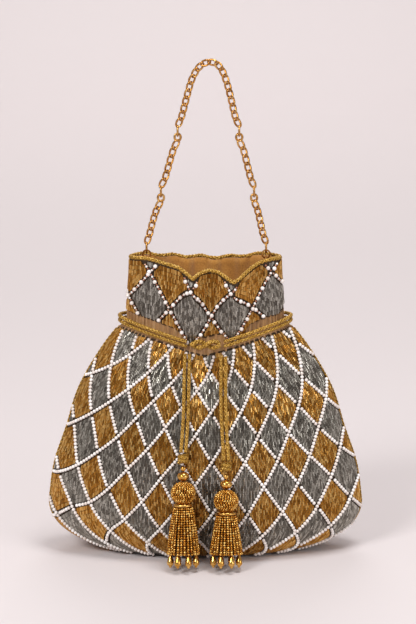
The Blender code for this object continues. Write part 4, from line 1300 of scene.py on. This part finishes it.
def hanging_line(drop, aside):
    """One strand of a hanging cord, from the half knot down the front of the bag to its end knot."""
    route = []
    for k, (x, z) in enumerate(drop):
        share = k / (len(drop) - 1)
        away = STRAND_RADIUS + 2 * GAP + share**4 * (BULB_WIDTH / 2 - 2.2 * STRAND_RADIUS)
        deep = front_depth(x * MM, z * MM) + away
        route.append((x * MM + aside, -max(deep, NECK_DEPTH / 2 + 7 * MM), z * MM))
    return smooth_line(route, 4 * STRAND_RADIUS)


for word, drop in (("left", LEFT_DROP), ("right", RIGHT_DROP)):
    strands = [hanging_line(drop, aside * STRAND_PITCH) for aside in (-0.5, 0.5)]
    middle = (strands[0] + strands[1]) / 2
    knot = middle[-1] - (0, GAP, END_KNOT_HEIGHT / 2 + GAP)
    pieces = make_tassel(word, knot)
    cord = plait("hanging_cord_" + word, strands, STRAND_RADIUS, CORD_TURN, "cord_" + word)
    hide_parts(f"cord_{word}_a", f"cord_{word}_b")
    length = float(np.linalg.norm(np.diff(middle, axis=0), axis=1).sum())
    print(word, "cord length in mm:", round(length / MM, 1), "pieces on it:", len(pieces))

# %% [markdown]
# ## The chain
#
# The handle is a short curb chain: oval links of round wire, each given a quarter twist so that
# they lie flat in each other. One link is bent as a closed curve with a round section and copied
# along the chain. The links at the folding places stand straight and untwisted, so that they can
# turn about the level bar of the next one.

# %% Chain sizes and gold
UP = np.array([0.0, 0.0, 1.0])
FORWARD = np.array([0.0, 1.0, 0.0])
WIRE = 1.6 * MM
LINK_WIDTH = 5.6 * MM
LINK_PITCH = 5.75 * MM
LINK_TWIST = 1.05 * MM
FUSE_DEPTH = 0.1 * MM
HINGE_LINK_WIDTH = 6.2 * MM
CHAIN_Y = -1 * MM
HINGE_HEIGHT = 233 * MM
FOLD_HEIGHTS = (276 * MM, 322 * MM)
RING_WIRE = 1.3 * MM
CHAIN_ROUTE = (
    (-45, 230), (-41, 250), (-34, 274), (-27.3, 298.5), (-20.5, 323), (-14, 349), (-9.3, 364.5),
    (-3.8, 373), (3, 376), (9.5, 373.8), (14, 366), (18.5, 351), (22.5, 333), (27.5, 314),
    (32.5, 294), (37, 274.5), (42, 252), (46.5, 230),
)
chain_gold, chain_shader = new_material("gold_plated_brass_chain")
chain_place = add_node(chain_gold, "ShaderNodeTexCoord").outputs["Object"]
chain_cloud = add_node(chain_gold, "ShaderNodeTexNoise", None, Vector=chain_place, Scale=260.0, Detail=4.0)
chain_patches = chain_cloud.outputs["Fac"]
chain_tint = ramp(chain_gold, chain_patches, (0.3, "#A06C2C"), (0.5, "#C08C48"), (0.75, "#E0B878"))
chain_gold.node_tree.links.new(chain_tint, chain_shader.inputs["Base Color"])
chain_shader.inputs["Metallic"].default_value = 1.0
chain_shader.inputs["Roughness"].default_value = 0.24
print("chain route points:", len(CHAIN_ROUTE))


# %% Links along the chain
def link_mesh(half_long, half_wide, twist):
    """One oval link of round wire about its middle: long way up, wide way across."""
    curve = bpy.data.curves.new("link", "CURVE")
    curve.dimensions = "3D"
    curve.bevel_depth = WIRE / 2
    curve.bevel_resolution = 2
    spline = curve.splines.new("POLY")
    angle = 2 * math.pi * np.arange(16) / 16
    spline.points.add(15)
    line = [(half_wide * math.sin(a), twist * math.sin(2 * a), half_long * math.cos(a), 1) for a in angle]
    for point, place in zip(spline.points, line):
        point.co = place
    spline.use_cyclic_u = True
    helper = bpy.data.objects.new("link", curve)
    mesh = bpy.data.meshes.new_from_object(helper)
    bpy.data.objects.remove(helper, do_unlink=True)
    return mesh


def chain_piece(low, high):
    """The chain's line between two heights on each side, as (left, right), both rising.

    Where no upper height is given, a side goes on to the top of the arch.
    The first and last links of a piece stand upright, so that they can fold about a level bar.
    """
    route = [(x * MM, CHAIN_Y, z * MM) for x, z in CHAIN_ROUTE]
    line = smooth_line(route, 0.5 * MM)
    top = int(line[:, 2].argmax())
    sides = []
    for run in (line[: top + 1], line[top:][::-1]):
        start = np.array((np.interp(low, run[:, 2], run[:, 0]), CHAIN_Y, low))
        side = [start, start + UP * LINK_PITCH, *run[run[:, 2] > low + 2 * LINK_PITCH]]
        if high:
            stop = np.array((np.interp(high, run[:, 2], run[:, 0]), CHAIN_Y, high))
            side = [p for p in side if p[2] < high - 2 * LINK_PITCH]
            side += [stop - UP * LINK_PITCH, stop]
        sides.append(side)
    return sides


def chain_run(name, line, bars, body):
    """The links of one run: twisted ones that lie in each other, and a straight one at each end."""
    stops = [line[0], *spaced(np.array(line[1:-1]), LINK_PITCH), line[-1]]
    last = len(stops) - 2
    groups = {"twisted": [], "straight": []}
    for k, (start, stop) in enumerate(zip(stops, stops[1:])):
        at_end = k in (0, last)
        ahead = (stop - start) / np.linalg.norm(stop - start)
        back = start - ahead * (bars[0] if k == 0 else (0.6 * WIRE if not at_end else FUSE_DEPTH))
        front = stop + ahead * (bars[1] if k == last else (0.6 * WIRE if not at_end else FUSE_DEPTH))
        hangs = (k == 0 and bars[0] > 0) or (k == last and bars[1] > 0)
        across = FORWARD if hangs else np.cross(ahead, FORWARD)
        width = HINGE_LINK_WIDTH if at_end else LINK_WIDTH
        reach = np.linalg.norm(front - back) / 2
        normal = np.cross(ahead, across)
        turn = np.stack([across * (width - WIRE) / (LINK_WIDTH - WIRE), normal, ahead], axis=-1)
        groups["straight" if at_end else "twisted"].append(((back + front) / 2, turn, reach))
    meshes = []
    for key, found in groups.items():
        reach = float(np.mean([r for _, _, r in found]))
        link = link_mesh(reach, (LINK_WIDTH - WIRE) / 2, LINK_TWIST if key == "twisted" else 0)
        turns = [turn * [1, 1, own / reach] for _, turn, own in found]
        centres = np.array([centre for centre, _, _ in found])
        lots = np.zeros(len(found))
        part = copies_of(key, link, centres, np.array(turns), lots, chain_gold, True)
        meshes.append(part)
    work = bmesh.new()
    for part in meshes:
        work.from_mesh(part.data)
        bpy.data.objects.remove(part, do_unlink=True)
    mesh = bpy.data.meshes.new(name + "_links")
    work.to_mesh(mesh)
    work.free()
    piece = finished(name + "_links", mesh, chain_gold)
    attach(piece, body)
    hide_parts(name)
    print(name, "links:", len(stops) - 1)


heights = (HINGE_HEIGHT, *FOLD_HEIGHTS)
on_ring, on_link = (RING_WIRE + WIRE) / 2 + GAP, WIRE + GAP
lower, middle_run = chain_piece(heights[0], heights[1]), chain_piece(heights[1], heights[2])
for word, side in (("left", 0), ("right", 1)):
    chain_run("chain_lower_" + word, lower[side], (on_ring, 0), "handle_lower")
    chain_run("chain_middle_" + word, middle_run[side], (on_link, 0), "handle_middle")
rise, fall = chain_piece(heights[2], None)
chain_run("chain_crown", rise + fall[-2::-1], (on_link, on_link), "handle_crown")

# %% [markdown]
# ## Fittings inside the mouth
#
# The rings, clasps and levers have their true shape in the solids already, so they keep it and only
# take the chain's finish. The two suede tabs are stitched cloth, so each is made again from its
# solid with softened edges.

# %% Fittings and tabs
for word in ("left", "right"):
    for kind in ("jump_ring", "d_ring", "clasp_body", "clasp_lever"):
        mesh = frame["nodes"][f"{kind}_{word}"].data
        if len(mesh.materials):
            mesh.materials[0] = chain_gold
        else:
            mesh.materials.append(chain_gold)
    work = bmesh.new()
    work.from_mesh(frame["nodes"]["strap_tab_" + word].data)
    bmesh.ops.remove_doubles(work, verts=work.verts, dist=1e-6)
    bmesh.ops.dissolve_limit(work, angle_limit=math.radians(2), verts=work.verts, edges=work.edges)
    sharp = [e for e in work.edges if e.is_manifold and e.calc_face_angle() > math.radians(50)]
    bmesh.ops.bevel(
        work, geom=sharp, offset=0.18 * MM, offset_type="OFFSET", affect="EDGES", segments=2,
        profile=0.5, material=-1, clamp_overlap=True,
    )
    mesh = bpy.data.meshes.new("suede_tab_" + word)
    work.to_mesh(mesh)
    work.free()
    tab = finished("suede_tab_" + word, mesh, suede)
    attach(tab, "bag")
    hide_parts("strap_tab_" + word)
    print("suede tab faces:", len(mesh.polygons))

# %% [markdown]
# ## What each cloth was cut to
#
# A cloth's flat size is measured along its own threads: its widest row and its longest column.

def cut_size(name, mesh):
    """The cut's width and length, and its area where it isn't a full rectangle."""
    wide, long = CLOTH_SIZES[name]
    area = sum(face.area for face in mesh.polygons)
    print(name, "flat in mm:", round(wide / MM), "x", round(long / MM), "area in cm2:", round(area * 1e4))
    return (wide, long), min(area, wide * long)


beads_on = {"front": [], "back": []}
collar_beads_on = {"front": [], "back": []}
for piece in bpy.data.objects:
    for word in ("front", "back"):
        if piece.name.endswith("_collar_" + word) or piece.name.endswith("beads_collar_" + word):
            collar_beads_on[word].append(piece)
        elif piece.name.endswith(("bugles_" + word, "strings_" + word)):
            beads_on[word].append(piece)
for word in ("front", "back"):
    panel = bpy.data.objects[word + "_panel_cloth"]
    flat, area = cut_size(panel.name, panel.data)
    collar = bpy.data.objects[f"collar_{word}_cloth"]
    flat, area = cut_size(collar.name, collar.data)
    beads = collar_beads_on[word]
flat, area = cut_size("satin_casing", casing.data)
flat, area = cut_size("suede_lining", lining.data)
